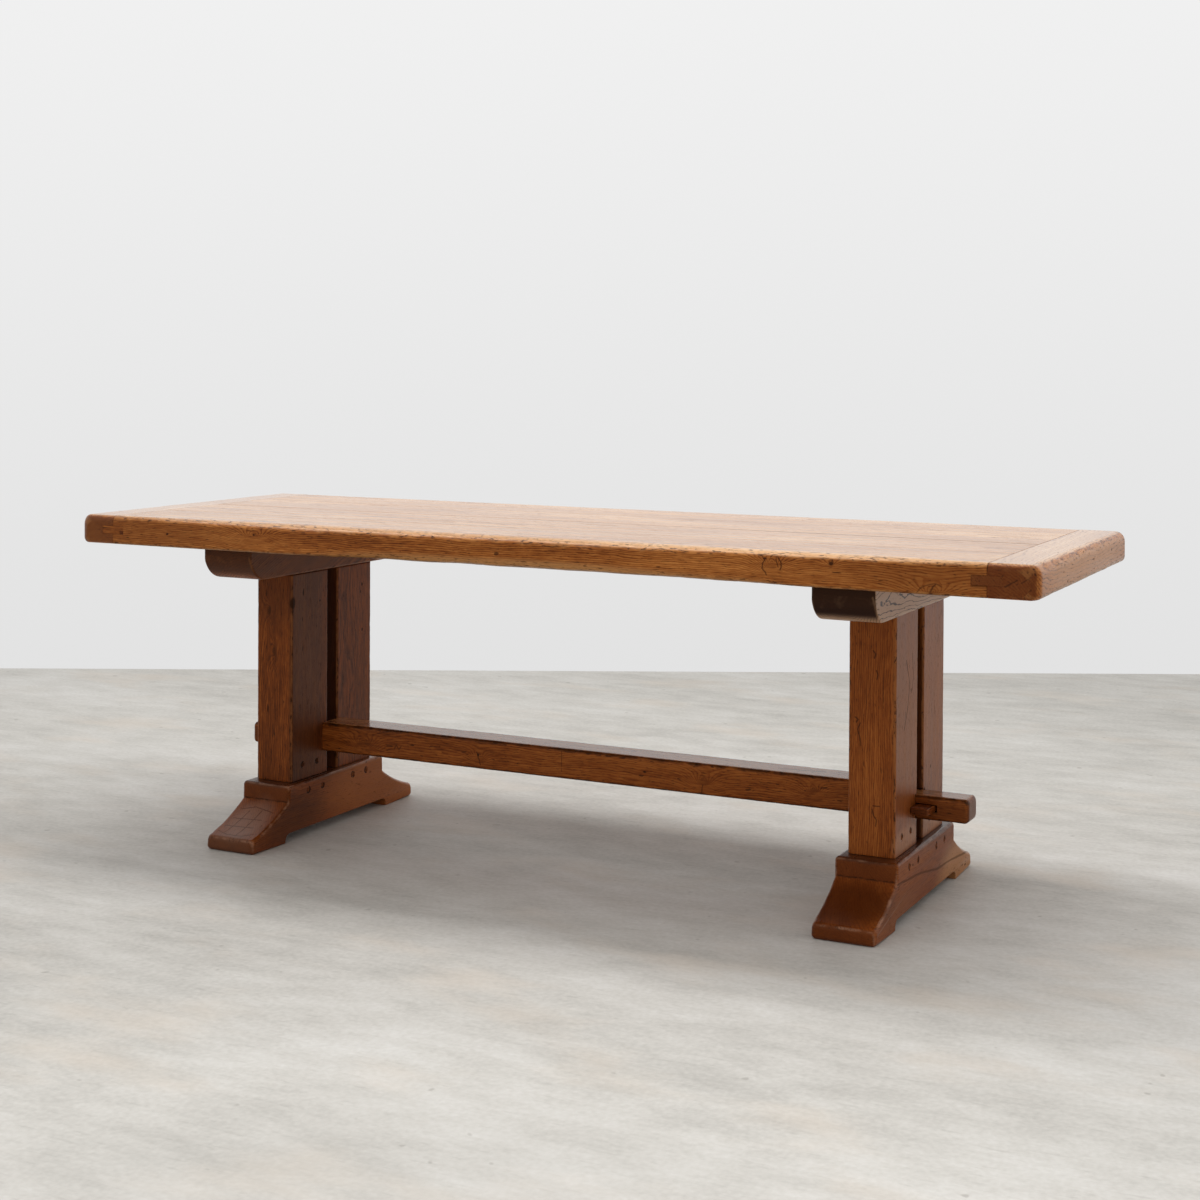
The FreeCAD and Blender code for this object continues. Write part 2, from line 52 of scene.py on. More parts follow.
DENT, CHIP = 0.2, 0.9     # mm, the deepest dent in a bar's faces, and chip in its arrises
FOOT_DENT, FOOT_CHIP = 0.35, 0.8    # mm, and in a foot's
SIDES = (("left", -1), ("right", 1))
ENDS = (("front", -1), ("back", 1))
ORDER = {"x": (0, 1, 2), "y": (1, 0, 2), "z": (2, 0, 1)}    # an axis, then the two across it

TOP, FRONT = 0.76, -0.3925                    # the top's upper face and its front edge
TOP_FACE = 0.74                               # above this the top is scrubbed pale and given a painted sheen, but not in its grooves
TRESTLE = 0.734                               # from the table's middle to a trestle's
RIGHT_POST, LEFT_POST = 0.784, -0.684         # the posts' sides that look to +X
POST_FRONT, BEAM_FRONT, BEAM_TOP = -0.1675, -0.043, 0.252
FOOT_SIDE = 0.8005                            # the right foot's outer side
POST_PEGS = (0.165, (0.0645, 0.1225))         # the pegs' height, and how far to both sides they stand
FOOT_PEGS = (0.108, (0.0645, 0.1225))


# ----------------meshes

def ripple(place, size, seed=0.0):
    """Smooth noise from -1 to 1 at a place, with bumps about `size` apart."""
    return noise.noise(Vector(place) / size + Vector((7.1, 3.3, 5.7)) * seed)


def quarter(start_degrees):
    """Directions and arris strength round a quarter turn."""
    for step in range(ARC + 1):
        share = step / ARC
        angle = math.radians(start_degrees + 90 * share)
        yield math.cos(angle), math.sin(angle), 0.45 + 0.55 * math.sin(math.pi * share)


def flat(start, end, cells):
    """Places between two arrises: one close to each, the rest evenly between."""
    length = end - start
    near = min(SUPPORT / max(abs(length), 1e-9), 0.5 / cells)
    return [start + length * s for s in [near] + [k / cells for k in range(1, cells)] + [1 - near]]


def section(box, radii, signs, cells):
    """One ring of a bar round the box (u0, u1, v0, v1): points, outward directions, arris strength."""
    u0, u1, v0, v1 = box
    across, tall = u1 - u0, v1 - v0
    corners = ((u0, v0, 1, 1, 180), (u1, v0, -1, 1, 270), (u1, v1, -1, -1, 0), (u0, v1, 1, -1, 90))
    ring, turns = [], []
    for (cu, cv, su, sv, start), (ru, rv), sign in zip(corners, radii, signs):
        ru, rv = min(ru, 0.46 * across), min(rv, 0.46 * tall)
        mu, mv = cu + su * ru, cv + sv * rv
        turns.append([((mu + ru * c, mv + rv * s), (c, s), w * sign) for c, s, w in quarter(start)])
    for k, turn in enumerate(turns):
        ring += turn
        here, there = turn[-1][0], turns[(k + 1) % 4][0][0]
        normal = ((0, -1), (1, 0), (0, 1), (-1, 0))[k]
        along_u = k in (0, 2)
        count = cells[0] if along_u else cells[1]
        start, end = (here[0], there[0]) if along_u else (here[1], there[1])
        other = (here[1], there[1]) if along_u else (here[0], there[0])
        for place in flat(start, end, count):
            side = other[0] + (other[1] - other[0]) * ((place - start) / (end - start))
            ring.append((((place, side) if along_u else (side, place)), normal, 0.0))
    return ring


def turned(distance, radius):
    """How far a face has turned in, `distance` before a bar's end, where that end is rounded."""
    depth = radius - distance
    return radius - math.sqrt(max(radius * radius - depth * depth, 0.0)) if depth > 0 else 0.0


def places(low, high, step, radii, extra):
    """Stations along a bar: a row of each end radius's own arc, then even steps between."""
    found = {low, high, *extra}
    for end, way in ((low, 1), (high, -1)):
        for radius in set(radii):
            steps = ARC if radius < LONG_RADIUS else 2 * ARC
            found |= {end + way * radius * (1 - math.sin(math.pi / 2 * k / steps)) for k in range(steps)}
            found.add(end + way * (radius + SUPPORT))
    start, stop = low + max(radii) + SUPPORT, high - max(radii) - SUPPORT
    count = max(2, round((stop - start) / step))
    found |= {start + (stop - start) * k / count for k in range(1, count)}
    kept = []
    for place in sorted(found):
        if not kept or place - kept[-1] > 0.12 * MM:
            kept.append(place)
    kept[-1] = high
    return kept


def new_object(name, data):
    """An object in the scene that holds the data."""
    made = bpy.data.objects.new(name, data)
    bpy.context.scene.collection.objects.link(made)
    return made


def weld(mesh, distance, outward=False):
    """Merges points closer than `distance`, and can turn all faces outward."""
    work = bmesh.new()
    work.from_mesh(mesh)
    bmesh.ops.remove_doubles(work, verts=work.verts, dist=distance)
    if outward:
        bmesh.ops.recalc_face_normals(work, faces=work.faces)
    work.to_mesh(mesh)
    work.free()


def from_rings(name, rings):
    """A closed mesh from rings of (point, arris strength), with a flat face on each end."""
    points = [tuple(p) for ring in rings for p, _ in ring]
    count = len(rings[0])
    faces = [tuple(range(count)), tuple(range(len(points) - count, len(points)))]
    for base in range(0, len(points) - count, count):
        faces += [(base + i, base + (i + 1) % count, base + count + (i + 1) % count, base + count + i)
                  for i in range(count)]
    mesh = bpy.data.meshes.new(name)
    mesh.from_pydata(points, [], faces)
    worn = [w for ring in rings for _, w in ring]
    mesh.attributes.new("arris", "FLOAT", "POINT").data.foreach_set("value", worn)
    weld(mesh, 1e-6, outward=True)
    return new_object(name, mesh)


def cut_by(piece, cutter, operation):
    """The piece's mesh after an exact boolean with the cutter, which is then gone."""
    cut = piece.modifiers.new("cut", "BOOLEAN")
    cut.operation, cut.solver, cut.object = operation, "EXACT", cutter
    shape = piece.evaluated_get(bpy.context.evaluated_depsgraph_get())
    mesh = bpy.data.meshes.new_from_object(shape)
    piece.modifiers.clear()
    bpy.data.objects.remove(cutter)
    return mesh


def carve(piece, node):
    """Keeps only what lies in the CAD node's solid, which cuts its mortises, slots and bores."""
    marks = kdtree.KDTree(len(piece.data.vertices))
    worn = [d.value for d in piece.data.attributes["arris"].data]
    for v in piece.data.vertices:
        marks.insert(v.co, v.index)
    marks.balance()
    solid = new_object(node + "_solid", NODES[node].data.copy())
    weld(solid.data, 2e-6)
    piece.data = cut_by(piece, solid, "INTERSECT")
    attributes = piece.data.attributes
    if attributes.get("arris"):
        attributes.remove(attributes["arris"])
    values = []
    for v in piece.data.vertices:
        _, index, distance = marks.find(v.co)
        values.append(worn[index] if distance < 1.5 * MM else 0.0)
    attributes.new("arris", "FLOAT", "POINT").data.foreach_set("value", values)


def finish_piece(piece, nodes, body, material):
    """Smooth faces with crisp cut edges, a material and the body it rides on; the nodes it stands for are
    hidden.
    """
    mesh = piece.data
    mesh.materials.clear()
    mesh.materials.append(material)
    for face in mesh.polygons:
        face.use_smooth, face.material_index = True, 0
    mesh.set_sharp_from_angle(angle=SHARP_ANGLE)
    piece.modifiers.new("normals", "WEIGHTED_NORMAL").keep_sharp = True
    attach(piece, body)
    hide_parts(*nodes)


def bar(name, node, axis, arrises, turns, step, cells, narrow=None, extra=()):
    """A worn bar in a node's box. `arrises` gives each long edge's radius in mm, or a function of the
    place along that gives it across and tall. `turns` says how far the four sides turn in at both ends,
    in mm, and `narrow` how far they step in at a place along."""
    w, u, v = ORDER[axis]
    seed = 0.37 * (len(node) + 3 * sum(map(ord, node)) % 97)
    low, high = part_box(node)
    low, high = low + Vector((SKIN,) * 3), high - Vector((SKIN,) * 3)
    turns = [turn * MM for turn in turns]
    signs = [-1 if arris in (JOINT, FITTED) else 1 for arris in arrises]
    rings = []
    for place in places(low[w], high[w], step, turns, extra):
        insets = [turned(place - low[w], turn) + turned(high[w] - place, turn) for turn in turns]
        if narrow:
            insets = [i + n for i, n in zip(insets, narrow(place))]
        box = (low[u] + insets[0], high[u] - insets[1], low[v] + insets[2], high[v] - insets[3])
        radii = []
        for k, arris in enumerate(arrises):
            across, tall = arris(place) if callable(arris) else (arris, arris)
            wave = 1 + 0.16 * ripple((place, k, 0), 0.045, seed) + 0.07 * ripple((place, k, 1), 0.012, seed)
            radii.append((across * MM * max(wave, 0.92), tall * MM * max(wave, 0.92)))
        end_gap = min(place - low[w], high[w] - place)
        at_end = end_gap == 0
        near_end = 0.0 if at_end else 0.6 * max(0.0, 1 - end_gap / (0.7 * max(turns)))
        ring = []
        for (pu, pv), (nu, nv), worn in section(box, radii, signs, cells):
            where = [0.0, 0.0, 0.0]
            where[w], where[u], where[v] = place, pu, pv
            depth = DENT * MM * (0.5 + 0.5 * ripple(where, 0.07, seed))
            if worn > 0 and not at_end:
                chip = ripple(where, 0.016, seed + 2) + 0.5 * ripple(where, 0.006, seed + 5)
                depth += worn * CHIP * MM * max(chip - 0.15, 0.0)
            where[u] -= nu * depth
            where[v] -= nv * depth
            if at_end:
                worn = 0.0
            ring.append((Vector(where), max(worn, near_end) if worn >= 0 else worn))
        rings.append(ring)
    piece = from_rings(name, rings)
    carve(piece, node)
    return piece


# ----------------materials

def srgb(red, green, blue):
    """A display colour of 0 to 255 as linear values."""
    return tuple(c / 12.92 if c <= 0.04045 else ((c + 0.055) / 1.055) ** 2.4
                 for c in (red / 255, green / 255, blue / 255)) + (1.0,)


class Graph:
    """Short calls for a material's or world's nodes. Most return an output socket, `parts` all three."""

    def __init__(self, owner):
        owner.use_nodes = True
        self.tree = owner.node_tree
        self.tree.nodes.clear()

    def node(self, kind, inputs=None, **settings):
        made = self.tree.nodes.new("ShaderNode" + kind)
        for name, value in settings.items():
            setattr(made, name, value)
        for key, value in (inputs or {}).items():
            if isinstance(value, bpy.types.NodeSocket):
                self.tree.links.new(value, made.inputs[key])
            else:
                made.inputs[key].default_value = value
        return made

    def math(self, operation, a, b=0.0, c=0.0):
        return self.node("Math", {0: a, 1: b, 2: c}, operation=operation).outputs[0]

    def times(self, a, b):
        return self.math("MULTIPLY", a, b)

    def fold(self, operation, values):
        """All the values joined by one operation, such as ADD."""
        result = values[0]
        for value in values[1:]:
            result = self.math(operation, result, value)
        return result

    def vector(self, operation, a, b=(0.0, 0.0, 0.0)):
        made = self.node("VectorMath", {0: a, 1: b}, operation=operation)
        return made.outputs[1 if operation in ("LENGTH", "DISTANCE", "DOT_PRODUCT") else 0]

    def parts(self, vector):
        return self.node("SeparateXYZ", {0: vector}).outputs

    def noise(self, place, stretch, detail=2.0, colour=False, roughness=0.5):
        made = self.node("TexNoise", {"Vector": self.vector("MULTIPLY", place, stretch), "Scale": 1.0,
                                      "Detail": detail, "Roughness": roughness})
        return made.outputs["Color" if colour else "Fac"]

    def smooth(self, value, start, end, low=0.0, high=1.0):
        return self.node("MapRange", {"Value": value, "From Min": start, "From Max": end,
                                      "To Min": low, "To Max": high},
                         interpolation_type="SMOOTHSTEP").outputs[0]

    def mix(self, share, a, b):
        """From a towards b, which is a socket or a display colour."""
        b = srgb(*b) if isinstance(b, tuple) else b
        return self.node("Mix", {0: share, 6: a, 7: b}, data_type="RGBA").outputs[2]

    def ramp(self, share, stops):
        """Display colours at stops from 0 to 1."""
        made = self.node("ValToRGB", {0: share})
        elements = made.color_ramp.elements
        while len(elements) < len(stops):
            elements.new(0.5)
        for element, (position, colour) in zip(elements, stops):
            element.position, element.color = position, srgb(*colour)
        return made.outputs[0]

    def bump(self, height, strength, distance):
        return self.node("Bump", {"Height": height, "Strength": strength, "Distance": distance}).outputs[0]

    def surface(self, inputs):
        shader = self.node("BsdfPrincipled", inputs)
        self.node("OutputMaterial", {"Surface": shader.outputs[0]})


WAX_IOR = 1.38                      # a thin wax: a pale veil at a grazing angle
FACE_ON = (0.75, 0.42, 0.26, 1.0)   # and, face on, a little brown shine
UPWARD = (0.80, 0.985)              # a normal's z where a face starts to count as a top, and fully does
PEG_RING = 7.0 * MM                 # the dark ring round a peg: a dark joint with a painted shadow in its gap
BROWN = ((72, 31, 9), (124, 62, 22), (160, 92, 40))
TONES = {   # dark, middle and light wood, bare worn wood (on the feet also a painted highlight), and the dirt in pores and pits, also used for painted shade lines and dark reflections
    "top": ((94, 44, 14), (152, 86, 36), (192, 124, 62), (206, 146, 86), (48, 20, 7)),
    "frame": (*BROWN, (158, 100, 56), (32, 13, 4)),
    # the foot's pale bare colour also paints the highlights on its upper arrises
    "foot": (*BROWN, (176, 132, 106), (32, 13, 4)),
    "raw": ((46, 24, 13), (154, 116, 90), (180, 144, 116), (176, 138, 106), (44, 24, 14)),
    "light": ((128, 76, 36), (160, 102, 50), (188, 128, 70), (196, 140, 84), (60, 30, 12)),
}
SCRUBBED_AND_SHEEN = ((152, 100, 56), (194, 142, 93), (219, 176, 131))    # the pale face of tops: scrubbed wood with a painted sheen
STOPS = (0.0, 0.5, 1.0)             # where the dark, middle and light wood stand on a ramp


def oak(name, tone, grain="x", seed=0.0, pith=(0.03, -0.10), tilt=(0.0, 0.0, 0.0), ring=4.2, lines=0.26,
        band=0.62, figure=1.0, shade=0.0, matt=0.38, polish=0.0, gloss=0.0, scrub_and_sheen=0.0, scrub_and_sheen_from=0.0,
        end=None, knots=(), spots=(), cracks=(), patches=(), wear_and_dark_reflection=0.4, pitted=1.0, pegs=None,
        worn_from=1.15):
    """Solid oak: rings round a pith line along the grain, pores, knots, worn arrises, seams and marks.

    `ring` and the marks' sizes are in mm. A knot is a place, size, stretch along the grain and darkness,
    a spot a place and sizes across and along, a crack a width, darkness and corners, a patch a centre,
    size in metres, colour and share. `end` is the end grain's colour, share and start. Wear below 0
    darkens the arrises instead of baring them, as a painted dark reflection."""
    material = bpy.data.materials.new(name)
    g = Graph(material)
    dark, middle, light, bare, dirt = TONES[tone]
    source = g.node("TexCoord")
    place = source.outputs["Object"]
    parts, facing = g.parts(place), g.parts(source.outputs["Normal"])
    w, u, v = ORDER[grain]
    log = g.node("CombineXYZ", {0: parts[w], 1: parts[u], 2: parts[v]}).outputs[0]
    log = g.node("VectorRotate", {"Vector": log, "Rotation": tilt}, rotation_type="EULER_XYZ").outputs[0]
    sown = g.vector("ADD", log, (1.7 * seed, 2.3 * seed, 3.1 * seed))
    bent = log
    for stretch, reach in (((1.3, 5, 5), (0.0, 0.05, 0.05)), ((7, 24, 24), (0.0, 0.012, 0.012)),
                           ((30, 110, 110), (0.02, 0.0045, 0.0045))):
        sway = g.vector("SUBTRACT", g.noise(sown, stretch, 2, True), (0.5, 0.5, 0.5))
        bent = g.vector("ADD", bent, g.vector("MULTIPLY", sway, reach))

    # marks: knots bend the rings round them, spots and cracks only darken
    shifts, marks = [], []
    shaken = g.vector("ADD", place, g.vector("MULTIPLY", sway, (0.004, 0.004, 0.004)))

    def distance(centre, across, along):
        """From a mark's centre, in its own half sizes."""
        reach = [1 / (across * MM)] * 3
        reach[w] = 1 / (along * MM)
        return g.vector("LENGTH", g.vector("MULTIPLY", g.vector("SUBTRACT", shaken, centre), reach))

    for *centre, size, stretch, core in knots:
        away = distance(centre, size, size * stretch)
        shifts.append(g.times(g.math("EXPONENT", g.times(away, -0.75)), 3.2 * size * MM))
        marks.append(g.smooth(away, 0.8, 0.25, 0.0, core))
    for *centre, across, along in spots:
        marks.append(g.smooth(distance(centre, across, along), 1.15, 0.55))
    for width, strength, *corners in cracks:
        for start, stop in zip(corners, corners[1:]):
            start, run = Vector(start), Vector(stop) - Vector(start)
            share = g.vector("DOT_PRODUCT", g.vector("SUBTRACT", shaken, start), run / run.length_squared)
            share = g.math("MINIMUM", g.math("MAXIMUM", share, 0.0), 1.0)
            share = g.node("CombineXYZ", {0: share, 1: share, 2: share}).outputs[0]
            nearest = g.vector("ADD", g.vector("MULTIPLY", share, run), start)
            marks.append(g.smooth(g.vector("DISTANCE", shaken, nearest), width * MM, 0.35 * width * MM,
                                  0.0, strength))

    _, across, up = g.parts(bent)
    radius = g.math("SQRT", g.math("ADD", g.math("POWER", g.math("SUBTRACT", across, pith[0]), 2.0),
                                   g.math("POWER", g.math("SUBTRACT", up, pith[1]), 2.0)))
    phase = g.math("DIVIDE", g.fold("ADD", [radius, *shifts]), ring * MM)
    early = g.math("FRACT", phase)
    early = g.times(g.smooth(early, 0.0, 0.12), g.smooth(early, band, 0.3 * band))
    year = g.node("TexWhiteNoise", {"W": g.math("FLOOR", phase)}, noise_dimensions="1D").outputs["Value"]

    fibre = g.noise(bent, (30, 270, 270), 3)
    streak = g.noise(sown, (2.2, 55, 55), 2)
    broad = g.noise(sown, (1.8, 9, 9), 3)
    pores = g.smooth(g.noise(bent, (85, 420, 420), 1), 0.58, 0.68)
    pores = g.times(pores, g.math("MULTIPLY_ADD", early, 0.8, 0.2))
    flecks = g.smooth(g.noise(bent, (40, 170, 170), 1), 0.71, 0.77)
    weights = ((year, 0.16), (early, -lines), (fibre, 1.2), (streak, 0.5), (broad, 1.1))
    tint = g.fold("ADD", [g.times(value, weight * figure) for value, weight in weights])
    tint = g.math("ADD", tint, 0.5 + shade + (0.35 * lines - 1.48) * figure)
    colour = g.ramp(tint, tuple(zip(STOPS, (dark, middle, light))))

    # a scrubbed face with a painted sheen, darker end grain, stained patches and patches of painted light and
    # shade, bare and pitted arrises, dirt in the seams
    # up-facing faces are lightened: partly scrubbed wood, partly a painted sheen
    pale = g.times(g.smooth(facing[2], *UPWARD, 0.0, scrub_and_sheen), g.math("GREATER_THAN", parts[2], scrub_and_sheen_from))
    colour = g.mix(pale, colour, g.ramp(tint, tuple(zip(STOPS, SCRUBBED_AND_SHEEN))))
    end_colour, end_share, end_from = end or (dark, 0.5, 0.55)
    end_grain = g.smooth(g.math("ABSOLUTE", facing[w]), end_from, end_from + 0.35)
    colour = g.mix(g.times(end_grain, end_share), colour, end_colour)
    for centre, size, stain, share in patches:
        away = g.vector("DIVIDE", g.vector("SUBTRACT", place, centre), size)
        away = g.math("MULTIPLY_ADD", broad, 0.8, g.vector("LENGTH", away))
        colour = g.mix(g.smooth(away, 1.5, 0.8, 0.0, share), colour, stain)
    edge = g.node("Attribute", attribute_name="arris").outputs["Fac"]
    broken = g.noise(place, (38, 38, 38), 3)
    # bare worn arrises; a value below 0 darkens them instead, as a painted dark reflection
    worn = g.smooth(g.math("MULTIPLY_ADD", broken, 1.2, edge), worn_from, worn_from + 0.55, 0.0, abs(wear_and_dark_reflection))
    colour = g.mix(worn, colour, bare if wear_and_dark_reflection > 0 else dirt)
    pits = g.smooth(g.noise(bent, (70, 230, 230), 2), 0.58, 0.65)
    pits = g.times(pits, g.smooth(edge, 0.25, 0.8, 0.0, pitted))
    seam = g.times(g.smooth(edge, -0.25, -0.8), g.math("MULTIPLY_ADD", pale, -0.72, 1.0))
    height, rows = pegs or (0.0, ())
    # a dark ring round each peg: the joint, with a painted shadow in its gap
    for row in rows:
        beside = g.math("SUBTRACT", g.math("ABSOLUTE", parts[1]), row)
        rise = g.math("SUBTRACT", parts[2], height)
        reach = g.math("SQRT", g.math("ADD", g.times(beside, beside), g.times(rise, rise)))
        ringed = g.smooth(g.math("ABSOLUTE", g.math("SUBTRACT", reach, PEG_RING)), 2.8 * MM, 0.9 * MM)
        marks.append(g.times(ringed, g.smooth(g.noise(place, (80, 80, 80), 1), 0.40, 0.54)))
    darkening = [g.times(pores, 0.7 * figure), g.times(flecks, 0.75 * figure), g.times(pits, 0.85),
             g.times(seam, 0.8)]
    darkening = g.fold("MAXIMUM", darkening + [g.times(mark, 0.92) for mark in marks])
    colour = g.mix(darkening, colour, dirt)

    rough = g.fold("ADD", [g.times(streak, 0.16), g.times(darkening, 0.25),
                           g.smooth(edge, 0.3, 0.9, 0.0, -gloss)])
    rough = g.math("ADD", rough, g.smooth(facing[2], *UPWARD, matt, matt - 0.30 * max(scrub_and_sheen, polish)))
    height = g.fold("ADD", [g.times(darkening, -0.9), g.times(early, -0.15),
                            g.times(g.noise(place, (70, 70, 70), 2), 0.4)])
    relief = g.smooth(facing[2], *UPWARD, 0.5, 0.5 - 0.38 * scrub_and_sheen)
    g.surface({"Base Color": colour, "Roughness": rough, "Normal": g.bump(height, relief, 0.6 * MM),
               "IOR": WAX_IOR, "Specular Tint": FACE_ON})
    return material


def steel(name):
    """Zinc-plated steel: grey, faintly brushed, with dull patches."""
    material = bpy.data.materials.new(name)
    g = Graph(material)
    place = g.node("TexCoord").outputs["Object"]
    cloud = g.noise(place, (180, 180, 180), 3)
    g.surface({"Base Color": g.ramp(cloud, ((0.3, (96, 92, 84)), (0.7, (168, 165, 158)))),
               "Roughness": g.smooth(cloud, 0.3, 0.7, 0.55, 0.32), "Metallic": 1.0,
               "Normal": g.bump(g.noise(place, (900, 900, 120), 2), 0.2, 0.2 * MM)})
    return material


def cracks_in(axis, at, *runs):
    """Cracks in the face where `axis` is `at`. A run is a crack's width in mm, its darkness, and the
    two other coordinates of each corner."""
    made = []
    for width, strength, *run in runs:
        corners = [list(pair) for pair in zip(run[::2], run[1::2])]
        for corner in corners:
            corner.insert("xyz".index(axis), at)
        made.append((width, strength, *corners))
    return tuple(made)


# ----------------the top

def hump(place, start, end, soft):
    """1 between two places along, falling smoothly to 0 outside them."""
    def ease(t):
        t = min(max(t, 0.0), 1.0)
        return t * t * (3 - 2 * t)
    return ease((place - start) / soft + 0.5) * ease((end - place) / soft + 0.5)


def front_top_arris(x):
    """The front edge's upper arris: worn back in a long wave left of the middle."""
    used = hump(x, -0.68, 0.42, 0.3)
    wave = 0.5 + 0.5 * ripple((x, 0, 0), 0.11, 4.0)
    return 14 + 16 * hump(x, -0.88, 0.88, 0.28) + 6 * used, 12.6 + used * (1.5 + 5.0 * wave)


def front_low_arris(x):
    """Its lower arris: wane, where the board ran out, right of the middle."""
    wane = hump(x, -0.42, 0.58, 0.3) * (0.75 + 0.35 * ripple((x, 1, 0), 0.09, 2.0))
    return 6.5 + 44 * wane, 6.5 + 10 * wane


def back_top_arris(x):
    return 22 + 4 * ripple((x, 2, 0), 0.15, 6.0), 12.8


TOP_BOARDS = {   # what oak() is told of each board, from the front one back
    1: dict(
        seed=1.3, pith=(-0.36, 0.60), shade=-0.02, lines=0.42, wear_and_dark_reflection=0.45, gloss=0.16,
        knots=((-0.627, FRONT, 0.734, 15, 2.4, 0.0), (0.604, FRONT, 0.737, 15, 1.3, 0.0),
               (0.725, FRONT, 0.744, 6, 1.6, 0.8), (0.925, FRONT, 0.700, 15, 1.8, 0.25)),
        spots=((-0.869, FRONT, 0.725, 3, 4), (0.590, FRONT, 0.746, 3, 4), (-0.627, FRONT, 0.734, 3, 4),
               (0.725, FRONT, 0.743, 4.5, 5.5), (0.713, -0.385, 0.757, 2, 3)),
        cracks=(
            *cracks_in("z", TOP, (7.0, 0.5, -0.65, -0.235, -0.61, -0.235),
                       (7.0, 0.5, -0.44, -0.232, -0.39, -0.232), (6.0, 0.4, 0.21, -0.217, 0.26, -0.217),
                       (6.0, 0.4, -0.60, -0.30, -0.53, -0.30)),
            *cracks_in("y", FRONT, (2.2, 0.8, 0.591, 0.746, 0.585, 0.735, 0.584, 0.727, 0.591, 0.719,
                                    0.593, 0.714)),
            (2.0, 0.8, (0.611, -0.388, 0.759), (0.602, FRONT, 0.749)),
            *cracks_in("y", FRONT, (2.4, 0.8, 0.617, 0.750, 0.623, 0.741, 0.624, 0.732, 0.621, 0.725),
                       (2.0, 0.7, 0.612, 0.745, 0.615, 0.737, 0.617, 0.731),
                       (2.2, 0.8, 0.725, 0.743, 0.729, 0.754),
                       (2.0, 0.6, 0.893, 0.697, 0.900, 0.706, 0.914, 0.712, 0.930, 0.716, 0.940, 0.712),
                       (2.2, 0.8, 0.918, 0.697, 0.924, 0.707, 0.930, 0.714))),
        patches=(((0.08, -0.385, 0.697), (0.60, 0.04, 0.022), (214, 162, 104), 0.5),
                 ((-0.90, FRONT, 0.722), (0.32, 0.02, 0.05), (108, 56, 22), 0.3),
                 ((0.96, FRONT, 0.722), (0.34, 0.02, 0.05), (108, 54, 18), 0.5),
                 # pale bands on the top front arris: worn wood with a painted highlight
                 ((0.55, -0.385, 0.760), (0.75, 0.03, 0.010), (246, 200, 150), 0.7),
                 ((-0.35, -0.385, 0.760), (0.50, 0.03, 0.010), (240, 190, 140), 0.4),
                 # a painted shadow line along the lower front edge
                 ((0.0, -0.37, 0.694), (2.5, 0.09, 0.007), (60, 28, 10), 0.8))),
    2: dict(
        seed=2.9, pith=(-0.12, 0.55), ring=5.2, wear_and_dark_reflection=0.2,
        cracks=cracks_in("z", TOP, (7.0, 0.5, 0.03, -0.049, 0.10, -0.049),
                         (7.0, 0.4, -0.36, -0.13, -0.27, -0.13))),
    3: dict(
        seed=4.1, pith=(0.16, 0.52), ring=5.0, wear_and_dark_reflection=0.2,
        patches=(((0.25, 0.18, 0.76), (0.30, 0.05, 0.02), (150, 96, 52), 0.45),),
        cracks=cracks_in("z", TOP, (6.0, 0.75, 0.28, 0.003, 1.02, 0.003),
                         (5.0, 0.35, -1.02, 0.003, 0.28, 0.003), (9.0, 0.4, -0.69, 0.169, -0.64, 0.169),
                         (8.0, 0.4, 0.90, 0.148, 0.97, 0.144))),
    4: dict(seed=5.7, pith=(0.36, 0.58), ring=5.0, wear_and_dark_reflection=0.4),
}
for number, look in TOP_BOARDS.items():
    node = "top_board_%d" % number
    low_front, top_front = (front_low_arris, front_top_arris) if number == 1 else (JOINT, JOINT)
    low_back, top_back = (6.0, back_top_arris) if number == 4 else (JOINT, JOINT)
    piece = bar("top_board_%d_worn" % number, node, "x", (low_front, low_back, top_back, top_front),
                (0.7,) * 4, step=9 * MM, cells=(12, 5))
    finish_piece(piece, [node], "table",
                 oak("top_oak_%d" % number, "top", scrub_and_sheen=1.0, scrub_and_sheen_from=TOP_FACE, **look))

